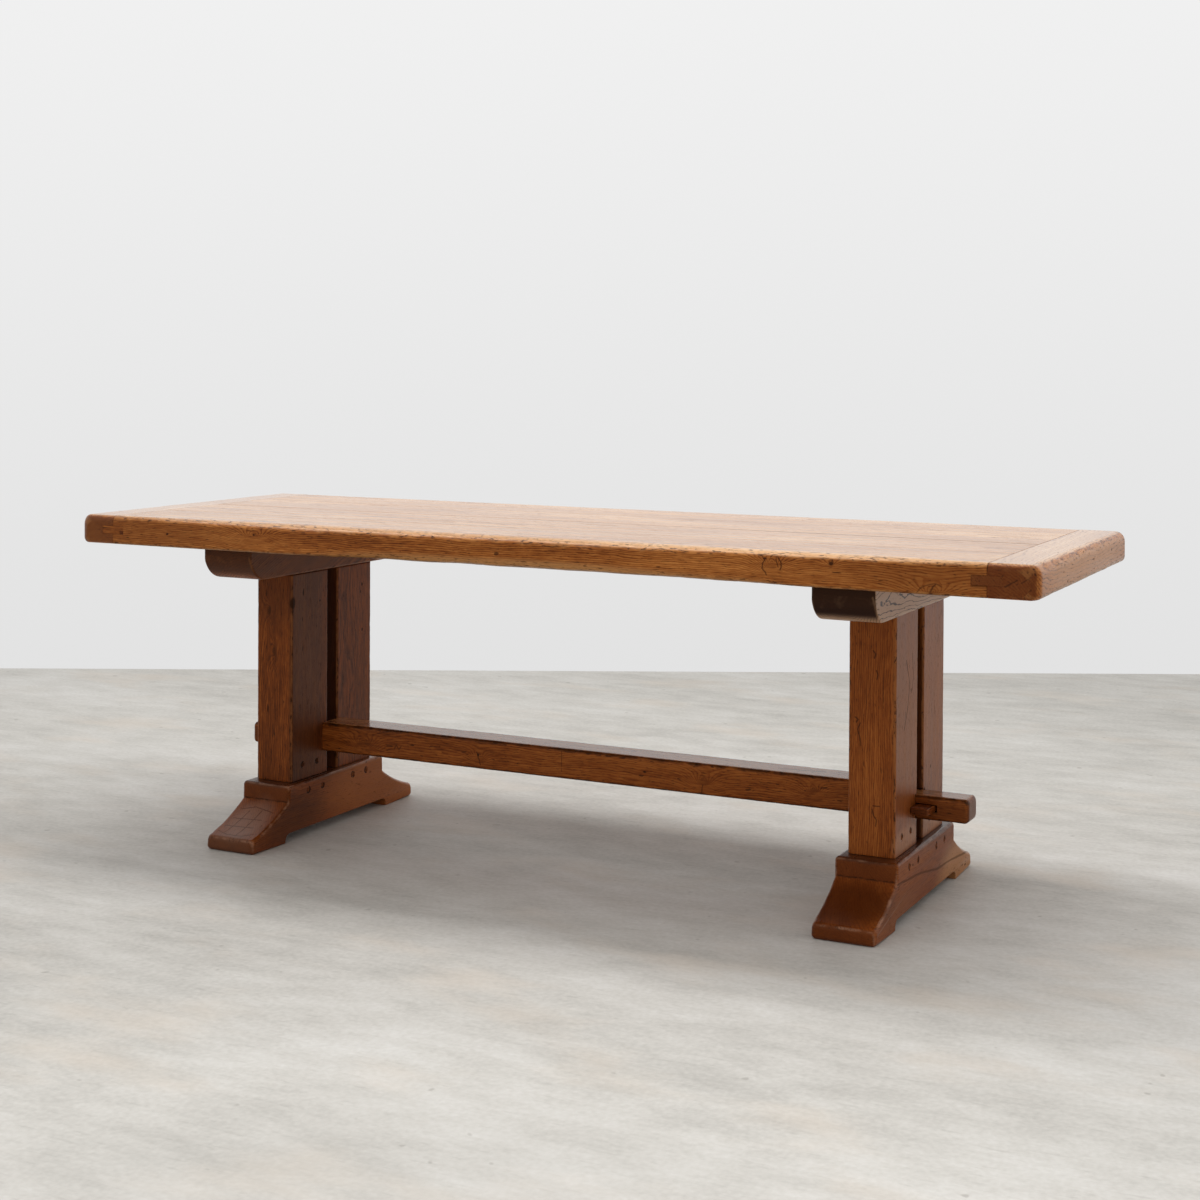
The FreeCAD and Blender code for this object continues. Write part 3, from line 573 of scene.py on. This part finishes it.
CROSS_LOOKS = {
    "left": dict(seed=6.3, end=((104, 56, 28), 0.75, 0.5)),
    "right": dict(
        seed=8.3, end=((92, 42, 18), 0.85, 0.5),
        cracks=cracks_in("y", FRONT, (2.2, 0.8, 1.061, 0.718, 1.083, 0.731),
                         (2.0, 0.8, 1.092, 0.726, 1.112, 0.741), (2.4, 0.8, 1.048, 0.728, 1.056, 0.738)),
        spots=((1.112, -0.385, 0.752, 3, 3), (1.114, -0.385, 0.742, 3, 3))),
}
TONGUES = {
    "left": ("light_oak", dict(shade=-0.16, seed=8.2)),
    "right": ("cross_oak", dict(grain="y", seed=10.2, end=((92, 44, 20), 0.85, 0.5))),
}
for side, sign in SIDES:
    node = "%s_breadboard" % side
    if sign > 0:
        arrises, turns = (JOINT, 12.5, 20.0, JOINT), (0.2, 24.0, 8.0, 16.0)
    else:
        arrises, turns = (12.5, JOINT, JOINT, 20.0), (24.0, 0.2, 8.0, 16.0)
    piece = bar("%s_breadboard_worn" % side, node, "y", arrises, turns, step=9 * MM, cells=(7, 5))
    wood = oak("cross_oak_%s" % side, "top", grain="y", pith=(sign * 1.02, 0.655), ring=4.4, lines=0.6,
               band=0.4, shade=-0.13, scrub_and_sheen=1.0, scrub_and_sheen_from=TOP_FACE, matt=0.26, wear_and_dark_reflection=0.2, pitted=0.7,
               gloss=0.1, patches=(((sign * 1.125, 0.0, 0.727), (0.006, 0.5, 0.2), (196, 142, 94), 0.6),),
               **CROSS_LOOKS[side])
    finish_piece(piece, [node], "table", wood)

    node = "%s_end_tongue" % side
    piece = bar("%s_end_tongue_end" % side, node, "y", (FITTED,) * 4, (0.8,) * 4, step=25 * MM, cells=(4, 2))
    slot, look = TONGUES[side]
    wood = oak("tongue_oak_%s" % side, "top", wear_and_dark_reflection=0.0, pitted=0.0, **look)
    finish_piece(piece, [node], "table", wood)

plug = bar("left_tongue_plug_block", "left_tongue_plug", "y", (FITTED,) * 4, (0.6,) * 4, step=6 * MM,
           cells=(2, 2))
finish_piece(plug, ["left_tongue_plug"], "table",
             oak("filler_block", "frame", shade=-0.3, grain="y", seed=11.0, wear_and_dark_reflection=0.0, pitted=0.0))


# ----------------bearers, posts, stretcher, keys

def slot_dirt_and_shade(x, way):
    """Painted shade, with dust and dark wax, on a post's face in the slot between the two posts."""
    return (x, way * 0.0195, 0.40), (0.10, 0.007, 0.5), (44, 18, 9), 0.85


def low_pale_band(y):
    """The pale band low on a right post's side."""
    return (RIGHT_POST, y, 0.155), (0.012, 0.12, 0.03), (176, 122, 84), 0.5


POST_LOOKS = {
    "right_front": dict(
        seed=21.0, pith=(0.80, -0.19), ring=4.4, lines=0.34, shade=0.08, matt=0.3, figure=0.85,
        spots=((RIGHT_POST, -0.068, 0.456, 3, 4),),
        cracks=cracks_in("y", POST_FRONT, (2.2, 0.8, 0.736, 0.546, 0.741, 0.540, 0.738, 0.532),
                         (2.0, 0.8, 0.743, 0.507, 0.746, 0.498, 0.744, 0.489),
                         (2.4, 0.8, 0.698, 0.409, 0.705, 0.405, 0.701, 0.399),
                         (1.9, 0.8, 0.737, 0.2330, 0.751, 0.2336),
                         (2.0, 0.8, 0.735, 0.226, 0.738, 0.214, 0.744, 0.206, 0.743, 0.193),
                         (1.8, 0.8, 0.710, 0.398, 0.704, 0.385, 0.709, 0.368, 0.711, 0.352))
        + cracks_in("x", RIGHT_POST, (2.4, 0.85, -0.100, 0.520, -0.076, 0.470, -0.090, 0.420, -0.112, 0.380),
                    (2.0, 0.75, -0.060, 0.530, -0.052, 0.480, -0.064, 0.450)),
        patches=(((RIGHT_POST, -0.09, 0.46), (0.012, 0.16, 0.25), (150, 94, 50), 0.45),
                 low_pale_band(-0.09), slot_dirt_and_shade(TRESTLE, -1))),
    "right_back": dict(
        seed=23.0, pith=(0.64, 0.24), shade=0.10, matt=0.3,
        patches=(((RIGHT_POST, 0.09, 0.46), (0.012, 0.16, 0.25), (150, 90, 44), 0.45),
                 low_pale_band(0.09), slot_dirt_and_shade(TRESTLE, 1)),
        spots=((RIGHT_POST, 0.073, 0.273, 3.5, 4), (RIGHT_POST, 0.031, 0.232, 3, 5))),
    "left_front": dict(
        seed=25.0, pith=(-0.62, -0.26), shade=-0.09,
        patches=(((LEFT_POST, -0.12, 0.40), (0.012, 0.12, 0.5), (50, 32, 22), 0.6),
                 ((-TRESTLE, POST_FRONT, 0.56), (0.1, 0.01, 0.09), (74, 34, 14), 0.5),
                 slot_dirt_and_shade(-TRESTLE, -1)),
        knots=((-0.749, POST_FRONT, 0.531, 11, 1.8, 0.6), (-TRESTLE, POST_FRONT, 0.437, 10, 2.2, 0.6)),
        spots=((LEFT_POST, -0.122, 0.573, 3, 10), (LEFT_POST, -0.054, 0.546, 3, 3),
               (-0.686, -0.162, 0.552, 9, 16), (-0.752, POST_FRONT, 0.300, 2.5, 12))),
    "left_back": dict(
        seed=27.0, pith=(-0.60, 0.05), shade=-0.02, patches=(slot_dirt_and_shade(-TRESTLE, 1),),
        spots=((LEFT_POST, 0.126, 0.567, 4, 5), (LEFT_POST, 0.120, 0.548, 3, 4),
               (LEFT_POST, 0.128, 0.454, 4, 5))),
}
BEARER_LOOKS = {
    "left": dict(
        tone="frame", seed=31.0, pith=(-0.60, 0.52), tilt=(0.0, 0.42, 0.0), lines=0.5,
        end=((64, 33, 18), 0.9, 0.45),
        patches=(((-0.6685, -0.10, 0.66), (0.012, 0.4, 0.1), (76, 52, 38), 0.55),)),
    "right": dict(
        tone="raw", seed=33.0, shade=-0.06, pith=(0.742, 0.668), tilt=(0.0, 0.05, -0.05), lines=2.6,
        band=0.26, matt=0.3, end=((32, 13, 7), 1.0, 0.4),
        # its very dark end grain is partly painted shade under the top
        cracks=((3.0, 0.8, (0.758, -0.348, 0.674), (0.780, -0.348, 0.671), (0.7995, -0.340, 0.664)),)),
}
for side, sign in SIDES:
    node = "%s_bearer" % side
    piece = bar("%s_bearer_worn" % side, node, "y", (5.5, 5.5, 3.6, 3.6), (5.0, 5.0, 59.0, 3.5),
                step=9.7 * MM, cells=(8, 6))
    wood = oak("frame_oak_%s_bearer" % side, grain="y", ring=5.0, wear_and_dark_reflection=0.25, pitted=0.5, gloss=0.1,
               **BEARER_LOOKS[side])
    finish_piece(piece, [node], "table", wood)
    for end_name, _ in ENDS:
        post = "%s_%s" % (side, end_name)
        piece = bar("%s_post_worn" % post, "%s_post" % post, "z", (5.2,) * 4, (0.6,) * 4, step=8 * MM,
                    cells=(8, 10))
        wood = oak("frame_oak_%s_post" % post, "frame", grain="z", pegs=POST_PEGS, gloss=0.12,
                   **POST_LOOKS[post])
        finish_piece(piece, ["%s_post" % post], "table", wood)

SHOULDER, TENON_ASIDE, TENON_DROP = 684 * MM, 10 * MM, 19 * MM


def stretcher_steps(x):
    """How far the tenons at both ends step in from the beam's own faces."""
    if abs(x) < SHOULDER:
        return 0.0, 0.0, 0.0, 0.0
    return TENON_ASIDE, TENON_ASIDE, 0.0, TENON_DROP


def stretcher_top_arris(x):
    return 8.5 + 1.5 * ripple((x, 3, 0), 0.2, 8.0), 8.5 + 1.5 * ripple((x, 3, 1), 0.2, 8.0)


def on_tenons(x, z, size, colour, share):
    """The same patch on both tenons."""
    return tuple(((sign * x, 0.0, z), size, colour, share) for sign in (1, -1))


shoulders = [s * (SHOULDER + d) for s in (-1, 1) for d in (-0.2 * MM, 0.2 * MM)]
beam = bar("stretcher_worn", "stretcher", "x", (6.4, 6.4, stretcher_top_arris, stretcher_top_arris),
           (9.5,) * 4, step=9 * MM, cells=(6, 6), narrow=stretcher_steps, extra=shoulders)
finish_piece(beam, ["stretcher"], "table", oak(
    # its arrises are darkened, not bared: a painted dark reflection of the table's underside
    "frame_oak_stretcher", "frame", seed=41.0, pith=(0.02, 0.12), wear_and_dark_reflection=-0.75, shade=0.12,
    # the stretcher's pale top is a painted sheen
    matt=0.28, gloss=0.1, polish=0.9, scrub_and_sheen=0.4,
    # the first patch is painted shade: near black in the key slots
    patches=(on_tenons(0.805, 0.208, (0.026, 0.026, 0.03), (16, 5, 2), 1.0)
             + on_tenons(0.86, 0.203, (0.14, 0.1, 0.034), (84, 40, 15), 0.6)),
    knots=((-0.567, BEAM_FRONT, 0.212, 16, 1.6, 0.15), (0.313, BEAM_FRONT, 0.214, 15, 1.5, 0.2),
           (0.565, BEAM_FRONT, 0.222, 12, 1.5, 0.2), (-0.25, BEAM_FRONT, 0.212, 10, 1.4, 0.0)),
    spots=((-0.252, BEAM_FRONT, 0.216, 3.5, 4), (0.171, BEAM_FRONT, 0.220, 2.5, 5),
           (-0.483, 0.013, BEAM_TOP, 3, 4)),
    cracks=cracks_in("y", BEAM_FRONT, (2.0, 0.8, -0.256, 0.222, -0.252, 0.212, -0.246, 0.194),
                     (2.0, 0.7, 0.310, 0.206, 0.307, 0.186), (1.6, 0.6, -0.036, 0.246, -0.035, 0.200),
                     (2.0, 0.7, -0.500, 0.214, -0.485, 0.214),
                     (2.0, 0.7, -0.480, 0.207, -0.474, 0.217, -0.467, 0.207, -0.461, 0.216))
    + cracks_in("z", BEAM_TOP, (3.4, 0.8, 0.475, -0.008, 0.520, -0.004, 0.575, 0.003),
                (2.6, 0.6, 0.18, 0.024, 0.25, 0.027))))

KEY_BACK, KEY_LENGTH, KEY_TAPER = 96 * MM, 168 * MM, 11.7 * MM
for side, sign in SIDES:
    def key_taper(y):
        """The wedge's outer edge runs in towards its thin front end."""
        thin = KEY_TAPER * (KEY_BACK - y) / KEY_LENGTH
        return (0.0, thin, 0.0, 0.0) if sign > 0 else (thin, 0.0, 0.0, 0.0)

    node = "%s_key" % side
    piece = bar("%s_key_worn" % side, node, "y", (2.6,) * 4, (3.5,) * 4, step=6 * MM, cells=(6, 3),
                narrow=key_taper)
    wood = oak("key_oak_%s" % side, "frame", grain="y", seed=45.0 + sign, pith=(sign * 0.80, 0.17),
               wear_and_dark_reflection=0.3, shade=-0.26, gloss=0.12, end=((70, 32, 14), 0.7, 0.5))
    finish_piece(piece, [node], "%s_key" % side, wood)


# ----------------feet

TOE, BLOCK, ARCH = 338, 201, 212                  # half lengths, mm
BLOCK_TOP, STEP, TOE_TOP, ARCH_TOP = 131, 92, 32, 20
HOLLOW = 450                                      # mm, the radius of the sloping toes
STEP_SHADE_LINE = 0.0935                                # on the step under the block: a painted line of shade in the crease

SLOPE_START, SLOPE_END = Vector((BLOCK, STEP)), Vector((TOE, TOE_TOP))
CHORD = SLOPE_END - SLOPE_START
HOLLOW_CENTRE = (SLOPE_START + SLOPE_END) / 2 + (
    Vector((-CHORD.y, CHORD.x)).normalized() * math.sqrt(HOLLOW ** 2 - (CHORD.length / 2) ** 2))


def hollow(count):
    """The toe's concave slope from the step to the tip in mm, without its two ends."""
    first, last = [math.atan2(*(p - HOLLOW_CENTRE).yx) for p in (SLOPE_START, SLOPE_END)]
    angles = [first + (last - first) * k / count for k in range(1, count)]
    return [(HOLLOW_CENTRE.x + HOLLOW * math.cos(a), HOLLOW_CENTRE.y + HOLLOW * math.sin(a)) for a in angles]


def foot_outline():
    """The foot's side outline, anticlockwise: (y, z, corner radius, arris radius) in mm."""
    half = [(ARCH, 0, 2.5, 1.8), (TOE, 0, 10.5, 9.2), (TOE, TOE_TOP, 13, 11.5)]
    half += [(y, z, 0, 8) for y, z in reversed(hollow(8))]
    half += [(BLOCK, STEP, 1.6, 7.6), (BLOCK, BLOCK_TOP, 9.5, 8)]
    mirrored = [(-y, z, corner, arris) for y, z, corner, arris in reversed(half)]
    return half + mirrored + [(-ARCH, ARCH_TOP, 15, 1.8), (ARCH, ARCH_TOP, 15, 1.8)]


def smooth_outline(corners, step):
    """Rounds the corners and cuts long runs, and returns (point, arris radius, how bare: worn, and on the
    upper corners a painted highlight).
    """
    points = []
    count = len(corners)
    for k, (y, z, corner, arris) in enumerate(corners):
        here = Vector((y, z))
        if not corner:
            points.append((here, arris, 0.0))
            continue
        before, after = [Vector(corners[(k + d) % count][:2]) for d in (-1, 1)]
        a, b = (before - here).normalized(), (after - here).normalized()
        half = a.angle(b) / 2
        reach = corner / math.tan(half)
        centre = here + (a + b).normalized() * (corner / math.sin(half))
        first, last = here + a * reach - centre, here + b * reach - centre
        sweep = first.angle_signed(last)
        for s in range(ARC + 1):
            turn = Matrix.Rotation(-sweep * s / ARC, 2)
            # the upper rounded corners count as bare: wear with a painted highlight
            bare = math.sin(math.pi * s / ARC) if corner > 5 and z >= TOE_TOP else 0.0
            points.append((centre + turn @ first, arris, bare))
    dense = []
    for k, (point, arris, bare) in enumerate(points):
        after, arris_after, bare_after = points[(k + 1) % len(points)]
        cuts = max(1, round((after - point).length / step))
        dense += [(point.lerp(after, c / cuts), arris + (arris_after - arris) * c / cuts,
                   bare + (bare_after - bare) * c / cuts) for c in range(cuts)]
    return dense


def foot_mesh(name, node, seed):
    """A worn foot: its outline in rings across X, rounded in at both sides."""
    low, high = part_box(node)
    middle, half = (low.x + high.x) / 2, (high.x - low.x) / 2 - SKIN
    line = smooth_outline(foot_outline(), 7.0)
    count = len(line)
    normals = []
    for k in range(count):
        run = line[(k + 1) % count][0] - line[k - 1][0]
        normals.append(Vector((run.y, -run.x)).normalized())
    arrises = [sum(line[(k + d) % count][1] for d in range(-2, 3)) / 5 for k in range(count)]
    levels = [("low", k) for k in range(ARC + 1)] + [("flat", k) for k in range(11)]
    levels += [("high", ARC - k) for k in range(ARC + 1)]
    rings = []
    for kind, k in levels:
        ring = []
        for (point, _, bare), normal, arris in zip(line, normals, arrises):
            where = (point.x * MM, point.y * MM, middle)
            wave = 1 + 0.14 * ripple(where, 0.05, seed) + 0.07 * ripple(where, 0.015, seed)
            radius = arris * min(wave, 1.08) * MM
            if kind == "flat":
                inset, x, worn = 0.0, (half - radius - SUPPORT) * (k / 5 - 1), 0.0
            else:
                angle = math.pi / 2 * (1 - k / ARC)
                inset = radius * (1 - math.cos(angle))
                x = (half - radius + radius * math.sin(angle)) * (-1 if kind == "low" else 1)
                worn = 0.4 + 0.6 * math.sin(2 * angle)
            corner = point - normal * (SKIN + inset) / MM
            place = Vector((middle + x, corner.x * MM, corner.y * MM))
            depth = FOOT_DENT * MM * (0.5 + 0.5 * ripple(place, 0.06, seed + 1))
            if worn and 0 < k < ARC:
                depth += worn * FOOT_CHIP * MM * max(ripple(place, 0.014, seed + 3), 0.0)
            if k > 0 or kind == "flat":
                place -= Vector((0, normal.x, normal.y)) * depth
            ring.append((place, max(worn, bare)))
        rings.append(ring)
    piece = from_rings(name, rings)
    carve(piece, node)
    return piece


def slope_line(a, b, c, d):
    """Points along a cut on the left front toe's slope, from x, y = a, b to c, d beside its middle."""
    line = []
    for k in range(5):
        x, y = -TRESTLE + a + (c - a) * k / 4, b + (d - b) * k / 4
        drop = math.sqrt(HOLLOW ** 2 - (y / MM + HOLLOW_CENTRE.x) ** 2)
        line.append((x, y, (HOLLOW_CENTRE.y - drop) * MM))
    return line


SAW_MARKS = tuple((2.2, 0.6, *slope_line(*cut)) for cut in (
    (-0.020, -0.235, -0.030, -0.315), (0.012, -0.230, 0.006, -0.322), (-0.045, -0.262, 0.030, -0.258),
    (-0.048, -0.290, 0.028, -0.286), (-0.045, -0.232, -0.010, -0.222), (-0.010, -0.222, 0.045, -0.232),
    (-0.050, -0.312, -0.020, -0.322), (-0.020, -0.322, 0.020, -0.322), (0.020, -0.322, 0.046, -0.308)))


def foot_top_dirt_and_shade(x):
    """Painted shade, with dust and dark wax, on top of the foot, round the posts."""
    return (x, 0.0, 0.131), (0.16, 0.5, 0.010), (48, 27, 19), 0.75


FOOT_LOOKS = {
    "left": dict(
        seed=51.0, pith=(-0.60, 0.20), shade=-0.13, cracks=SAW_MARKS, end=((78, 38, 18), 0.5, 0.5),
        patches=(foot_top_dirt_and_shade(-TRESTLE),
                 # a painted pale sheen on the toe's slope and on its front
                 ((-TRESTLE, -0.27, 0.066), (0.058, 0.09, 0.06), (132, 94, 76), 0.65),
                 ((-TRESTLE, -0.338, 0.015), (0.10, 0.02, 0.03), (104, 70, 52), 0.5),
                 ((-0.667, 0.20, 0.07), (0.06, 0.30, 0.12), (170, 98, 46), 0.65),
                 ((-0.667, -0.20, 0.05), (0.02, 0.16, 0.08), (58, 30, 13), 0.5))),
    "right": dict(
        seed=53.0, pith=(0.83, 0.17), shade=-0.07, end=((78, 34, 12), 0.6, 0.5),
        patches=(foot_top_dirt_and_shade(TRESTLE),
                 ((TRESTLE, -0.272, 0.066), (0.20, 0.10, 0.06), (64, 26, 7), 0.75),
                 ((0.802, 0.26, 0.03), (0.04, 0.22, 0.08), (178, 124, 78), 0.75),
                 ((0.802, -0.20, 0.03), (0.03, 0.16, 0.06), (122, 74, 40), 0.4)),
        cracks=cracks_in("x", FOOT_SIDE, (3.6, 0.6, -0.225, 0.091, -0.166, 0.087, -0.044, 0.076, 0.070, 0.057,
                                          0.159, 0.053, 0.308, 0.040)),
        spots=((FOOT_SIDE, 0.285, 0.016, 3.5, 6), (FOOT_SIDE, -0.100, 0.106, 2, 5),
               (FOOT_SIDE, 0.262, 0.020, 3, 4))),
}
for side, sign in SIDES:
    node = "%s_foot" % side
    piece = foot_mesh("%s_foot_worn" % side, node, 61.0 + sign)
    look = FOOT_LOOKS[side]
    middle = sign * TRESTLE
    for _, way in ENDS:
        # a painted line of shade along each step, drawn as a crack
        look["cracks"] += cracks_in("y", way * 0.2025, (3.2, 0.8, middle - 0.066, STEP_SHADE_LINE,
                                                        middle + 0.066, STEP_SHADE_LINE))
    # the feet's pale bare arrises are wear with a painted highlight
    wood = oak("frame_oak_%s_foot" % side, "foot", grain="y", figure=0.6, wear_and_dark_reflection=0.55, worn_from=1.38,
               pitted=0.6, matt=0.42, polish=0.7, gloss=0.2, pegs=FOOT_PEGS, **look)
    finish_piece(piece, [node], "table", wood)


# ----------------pegs and screws

def lathe(name, centre, axis, profile, sides, uneven=0.0, seed=0.0):
    """A turned piece: rings of (distance along, radius, arris strength) round an axis through `centre`."""
    w, u, v = ORDER[axis]
    rings = []
    for along, radius, worn in profile:
        ring = []
        for k in range(sides):
            angle = 2 * math.pi * k / sides
            out = radius * (1 + uneven * ripple((math.cos(angle), math.sin(angle), 0), 0.8, seed))
            where = [0.0, 0.0, 0.0]
            where[w] = centre[w] + along
            where[u] = centre[u] + out * math.cos(angle)
            where[v] = centre[v] + out * math.sin(angle)
            ring.append((Vector(where), worn))
        rings.append(ring)
    return from_rings(name, rings)


def joined(name, pieces):
    """One object of several closed meshes."""
    work = bmesh.new()
    for piece in pieces:
        work.from_mesh(piece.data)
        bpy.data.objects.remove(piece)
    mesh = bpy.data.meshes.new(name)
    work.to_mesh(mesh)
    work.free()
    return new_object(name, mesh)


PEG = 5.75 * MM           # a peg's radius
PEG_END = ((0.0, 3.6 * MM, 0.6), (0.3 * MM, 4.8 * MM, 0.8), (1.1 * MM, PEG, 1.0), (4 * MM, PEG, 0.3))
for side, sign in SIDES:
    for kind, (height, lines), kind_seed in (("post", POST_PEGS, 0), ("foot", FOOT_PEGS, 20)):
        node = "%s_%s_pegs" % (side, kind)
        low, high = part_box(node)
        half = (high.x - low.x) / 2
        dowels = []
        for k, y in enumerate(s * line for s in (-1, 1) for line in lines):
            seed = 3.0 * k + sign + kind_seed
            face = half - (0.5 + 0.4 * ripple((k, sign, 0), 1.7, seed)) * MM
            profile = [(-face + along, radius, worn) for along, radius, worn in PEG_END]
            profile += [(0.0, PEG, 0.0)] + [(-a, b, c) for a, b, c in reversed(profile)]
            centre = ((low.x + high.x) / 2, y, height)
            dowels.append(lathe("dowel", centre, "x", profile, 18, 0.05, seed))
        pegs = joined("%s_%s_peg_ends" % (side, kind), dowels)
        # the pegs in the left posts get darker ends
        dark_ended = (side, kind) == ("left", "post")
        wood = oak("peg_oak_%s_%s" % (side, kind), "frame", seed=71.0 + sign, wear_and_dark_reflection=0.0, pitted=0.3, matt=0.75,
                   end=((46, 22, 11), 0.9, 0.5) if dark_ended else ((92, 50, 26), 0.6, 0.5))
        finish_piece(pegs, [node], "table", wood)

HEAD = 7 * MM             # a screw head's radius in its node's box
SHANK = ((0.0, 6.2), (0.5, 6.85), (3.4, 6.95), (3.9, 6.7), (3.9, 3.9), (42, 3.9))    # mm along, and radius
THREAD, FIRST_CREST, THREAD_STEP, TIP = 43 * MM, 44.6 * MM, 3.2 * MM, 6 * MM     # along the screw
CORE, CREST = 3.0 * MM, 3.95 * MM           # the thread's two radii
SOCKET = [(-1 * MM, 3.2 * MM, 0), (2.4 * MM, 3.2 * MM, 0)]
metal = steel("screw_steel_plated")
for side, _ in SIDES:
    node = "%s_bearer_screws" % side
    low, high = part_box(node)
    profile = [(a * MM, r * MM) for a, r in SHANK]
    thread = 0.0
    while THREAD + thread < high.z - low.z - TIP:
        profile += [(THREAD + thread, CORE), (FIRST_CREST + thread, CREST)]
        thread += THREAD_STEP
    profile += [(high.z - low.z - 0.3 * MM, 0.6 * MM)]
    profile = [(0.05 * MM + a, r, 0) for a, r in profile]
    screws = []
    for x in (low.x + HEAD, high.x - HEAD):
        for y in (low.y + HEAD, high.y - HEAD):
            screw = lathe("screw", (x, y, low.z), "z", profile, 20)
            screw.data = cut_by(screw, lathe("socket", (x, y, low.z), "z", SOCKET, 6), "DIFFERENCE")
            screws.append(screw)
    finish_piece(joined("%s_bearer_screw_set" % side, screws), [node], "table", metal)

inner = oak("inner_oak_raw", "light", seed=81.0, wear_and_dark_reflection=0.0, pitted=0.0)
inner_upright = oak("inner_oak_upright", "light", grain="z", seed=83.0, wear_and_dark_reflection=0.0, pitted=0.0)
hidden = [("board_tongue_%d" % number, inner) for number in (1, 2, 3)]
hidden += [("%s_%s_foot_tenon" % (side, end), inner_upright) for side, _ in SIDES for end, _ in ENDS]
for node, material in hidden:
    NODES[node].data.materials.clear()
    NODES[node].data.materials.append(material)


# ----------------studio

EYE = Vector((1.9649, -3.8688, 1.1443))
YAW, PITCH, ROLL = 0.4627, -0.0146, 0.0049
LENS, SENSOR, SHIFT = 57.715, 36.0, -0.1833
WALL_DEPTH = 6.88         # from the eye to the line where floor and wall meet
NEAR, WIDE = -14, 12      # the floor's near edge and half width

ahead = Vector((-math.sin(YAW), math.cos(YAW), 0))
aside = Vector((math.cos(YAW), math.sin(YAW), 0))
up = Vector((0, 0, 1))
forward = ahead * math.cos(PITCH) + up * math.sin(PITCH)
above = -ahead * math.sin(PITCH) + up * math.cos(PITCH)
right_hand = aside * math.cos(ROLL) + above * math.sin(ROLL)
overhead = -aside * math.sin(ROLL) + above * math.cos(ROLL)
camera_data = bpy.data.cameras.new("camera")
camera_data.sensor_fit, camera_data.sensor_width, camera_data.lens = "HORIZONTAL", SENSOR, LENS
camera_data.shift_y = SHIFT
camera = new_object("camera", camera_data)
camera.matrix_world = Matrix.Translation(EYE) @ Matrix((right_hand, overhead, -forward)).transposed().to_4x4()
bpy.context.scene.camera = camera

wall_line = (EYE + ahead * WALL_DEPTH).dot(ahead)
corners = [ahead * d + aside * s
           for d, s in ((NEAR, -WIDE), (NEAR, WIDE), (wall_line, WIDE), (wall_line, -WIDE))]
floor_mesh = bpy.data.meshes.new("floor")
floor_mesh.from_pydata([(p.x, p.y, 0.0) for p in corners], [], [(0, 1, 2, 3)])
floor = new_object("floor", floor_mesh)

concrete = bpy.data.materials.new("concrete")
g = Graph(concrete)
place = g.node("TexCoord").outputs["Object"]
clouds = g.noise(place, (0.9, 1.6, 1), 5, roughness=0.6)
stains = g.noise(place, (6, 14, 1), 5, roughness=0.65)
scuffs = g.smooth(g.noise(place, (14, 90, 1), 4, roughness=0.6), 0.56, 0.72)
grit = g.noise(place, (90, 90, 1), 2)
specks = g.smooth(g.noise(place, (26, 26, 1), 1), 0.74, 0.80)
shade = g.fold("ADD", [g.times(clouds, 0.42), g.times(stains, 0.38), g.times(grit, 0.2),
                       g.times(scuffs, -0.06)])
colour = g.ramp(shade, ((0.32, (172, 169, 163)), (0.5, (198, 195, 189)), (0.68, (217, 215, 211))))
warm = g.smooth(g.noise(place, (2.2, 4.5, 1), 4), 0.5, 0.72, 0.0, 0.35)
colour = g.mix(warm, colour, (208, 194, 178))
near = g.node("VectorRotate", {"Vector": g.vector("SUBTRACT", place, (0.495, -1.797, 0.0)), "Angle": -YAW},
              rotation_type="Z_AXIS").outputs[0]
near = g.vector("LENGTH", g.vector("MULTIPLY", near, (1.33, 2.22, 1.0)))    # a dull area in the foreground
colour = g.mix(g.smooth(near, 1.3, 0.3, 0.0, 0.3), colour, (150, 147, 142))
colour = g.mix(g.times(specks, 0.4), colour, (130, 124, 116))
g.surface({"Base Color": colour, "Normal": g.bump(grit, 0.15, 1 * MM), "IOR": 1.22,
           "Roughness": g.smooth(clouds, 0.3, 0.7, 0.62, 0.5)})
floor_mesh.materials.append(concrete)

AMBIENT, WALL_LOW, WALL_HIGH = 0.65, 0.735, 0.901     # the wall lightens upward
world = bpy.data.worlds.new("studio")
bpy.context.scene.world = world
g = Graph(world)
rays = g.node("LightPath").outputs
seen = g.fold("MAXIMUM", [rays["Is Camera Ray"], rays["Is Glossy Ray"], rays["Is Transmission Ray"]])
ambient = g.node("Background", {"Color": (1.0, 0.995, 0.985, 1.0), "Strength": AMBIENT}).outputs[0]
skyward = g.parts(g.node("TexCoord").outputs["Generated"])[2]
wall = g.node("Background", {"Color": (1.0, 1.0, 1.0, 1.0),
                             "Strength": g.smooth(skyward, -0.35, 0.36, WALL_LOW, WALL_HIGH)}).outputs[0]
g.node("OutputWorld", {"Surface": g.node("MixShader", {0: seen, 1: ambient, 2: wall}).outputs[0]})


def softbox(name, place, target, size, watts, spread=180):
    """A rectangular lamp; its spread is in degrees."""
    data = bpy.data.lights.new(name, "AREA")
    data.spread = math.radians(spread)
    data.shape, data.size, data.size_y, data.energy = "RECTANGLE", *size, watts
    lamp = new_object(name, data)
    lamp.location = place
    lamp.rotation_mode = "QUATERNION"
    lamp.rotation_quaternion = (Vector(target) - Vector(place)).to_track_quat("-Z", "Y")


softbox("ceiling", (-0.1, 0.45, 3.2), (-0.1, 0.45, 0.0), (5.4, 0.8), 74)
softbox("front", (1.0, -2.7, 3.0), (1.0, -2.7, 0.0), (1.4, 0.8), 21, 85)
bpy.context.scene.view_settings.view_transform = "Standard"
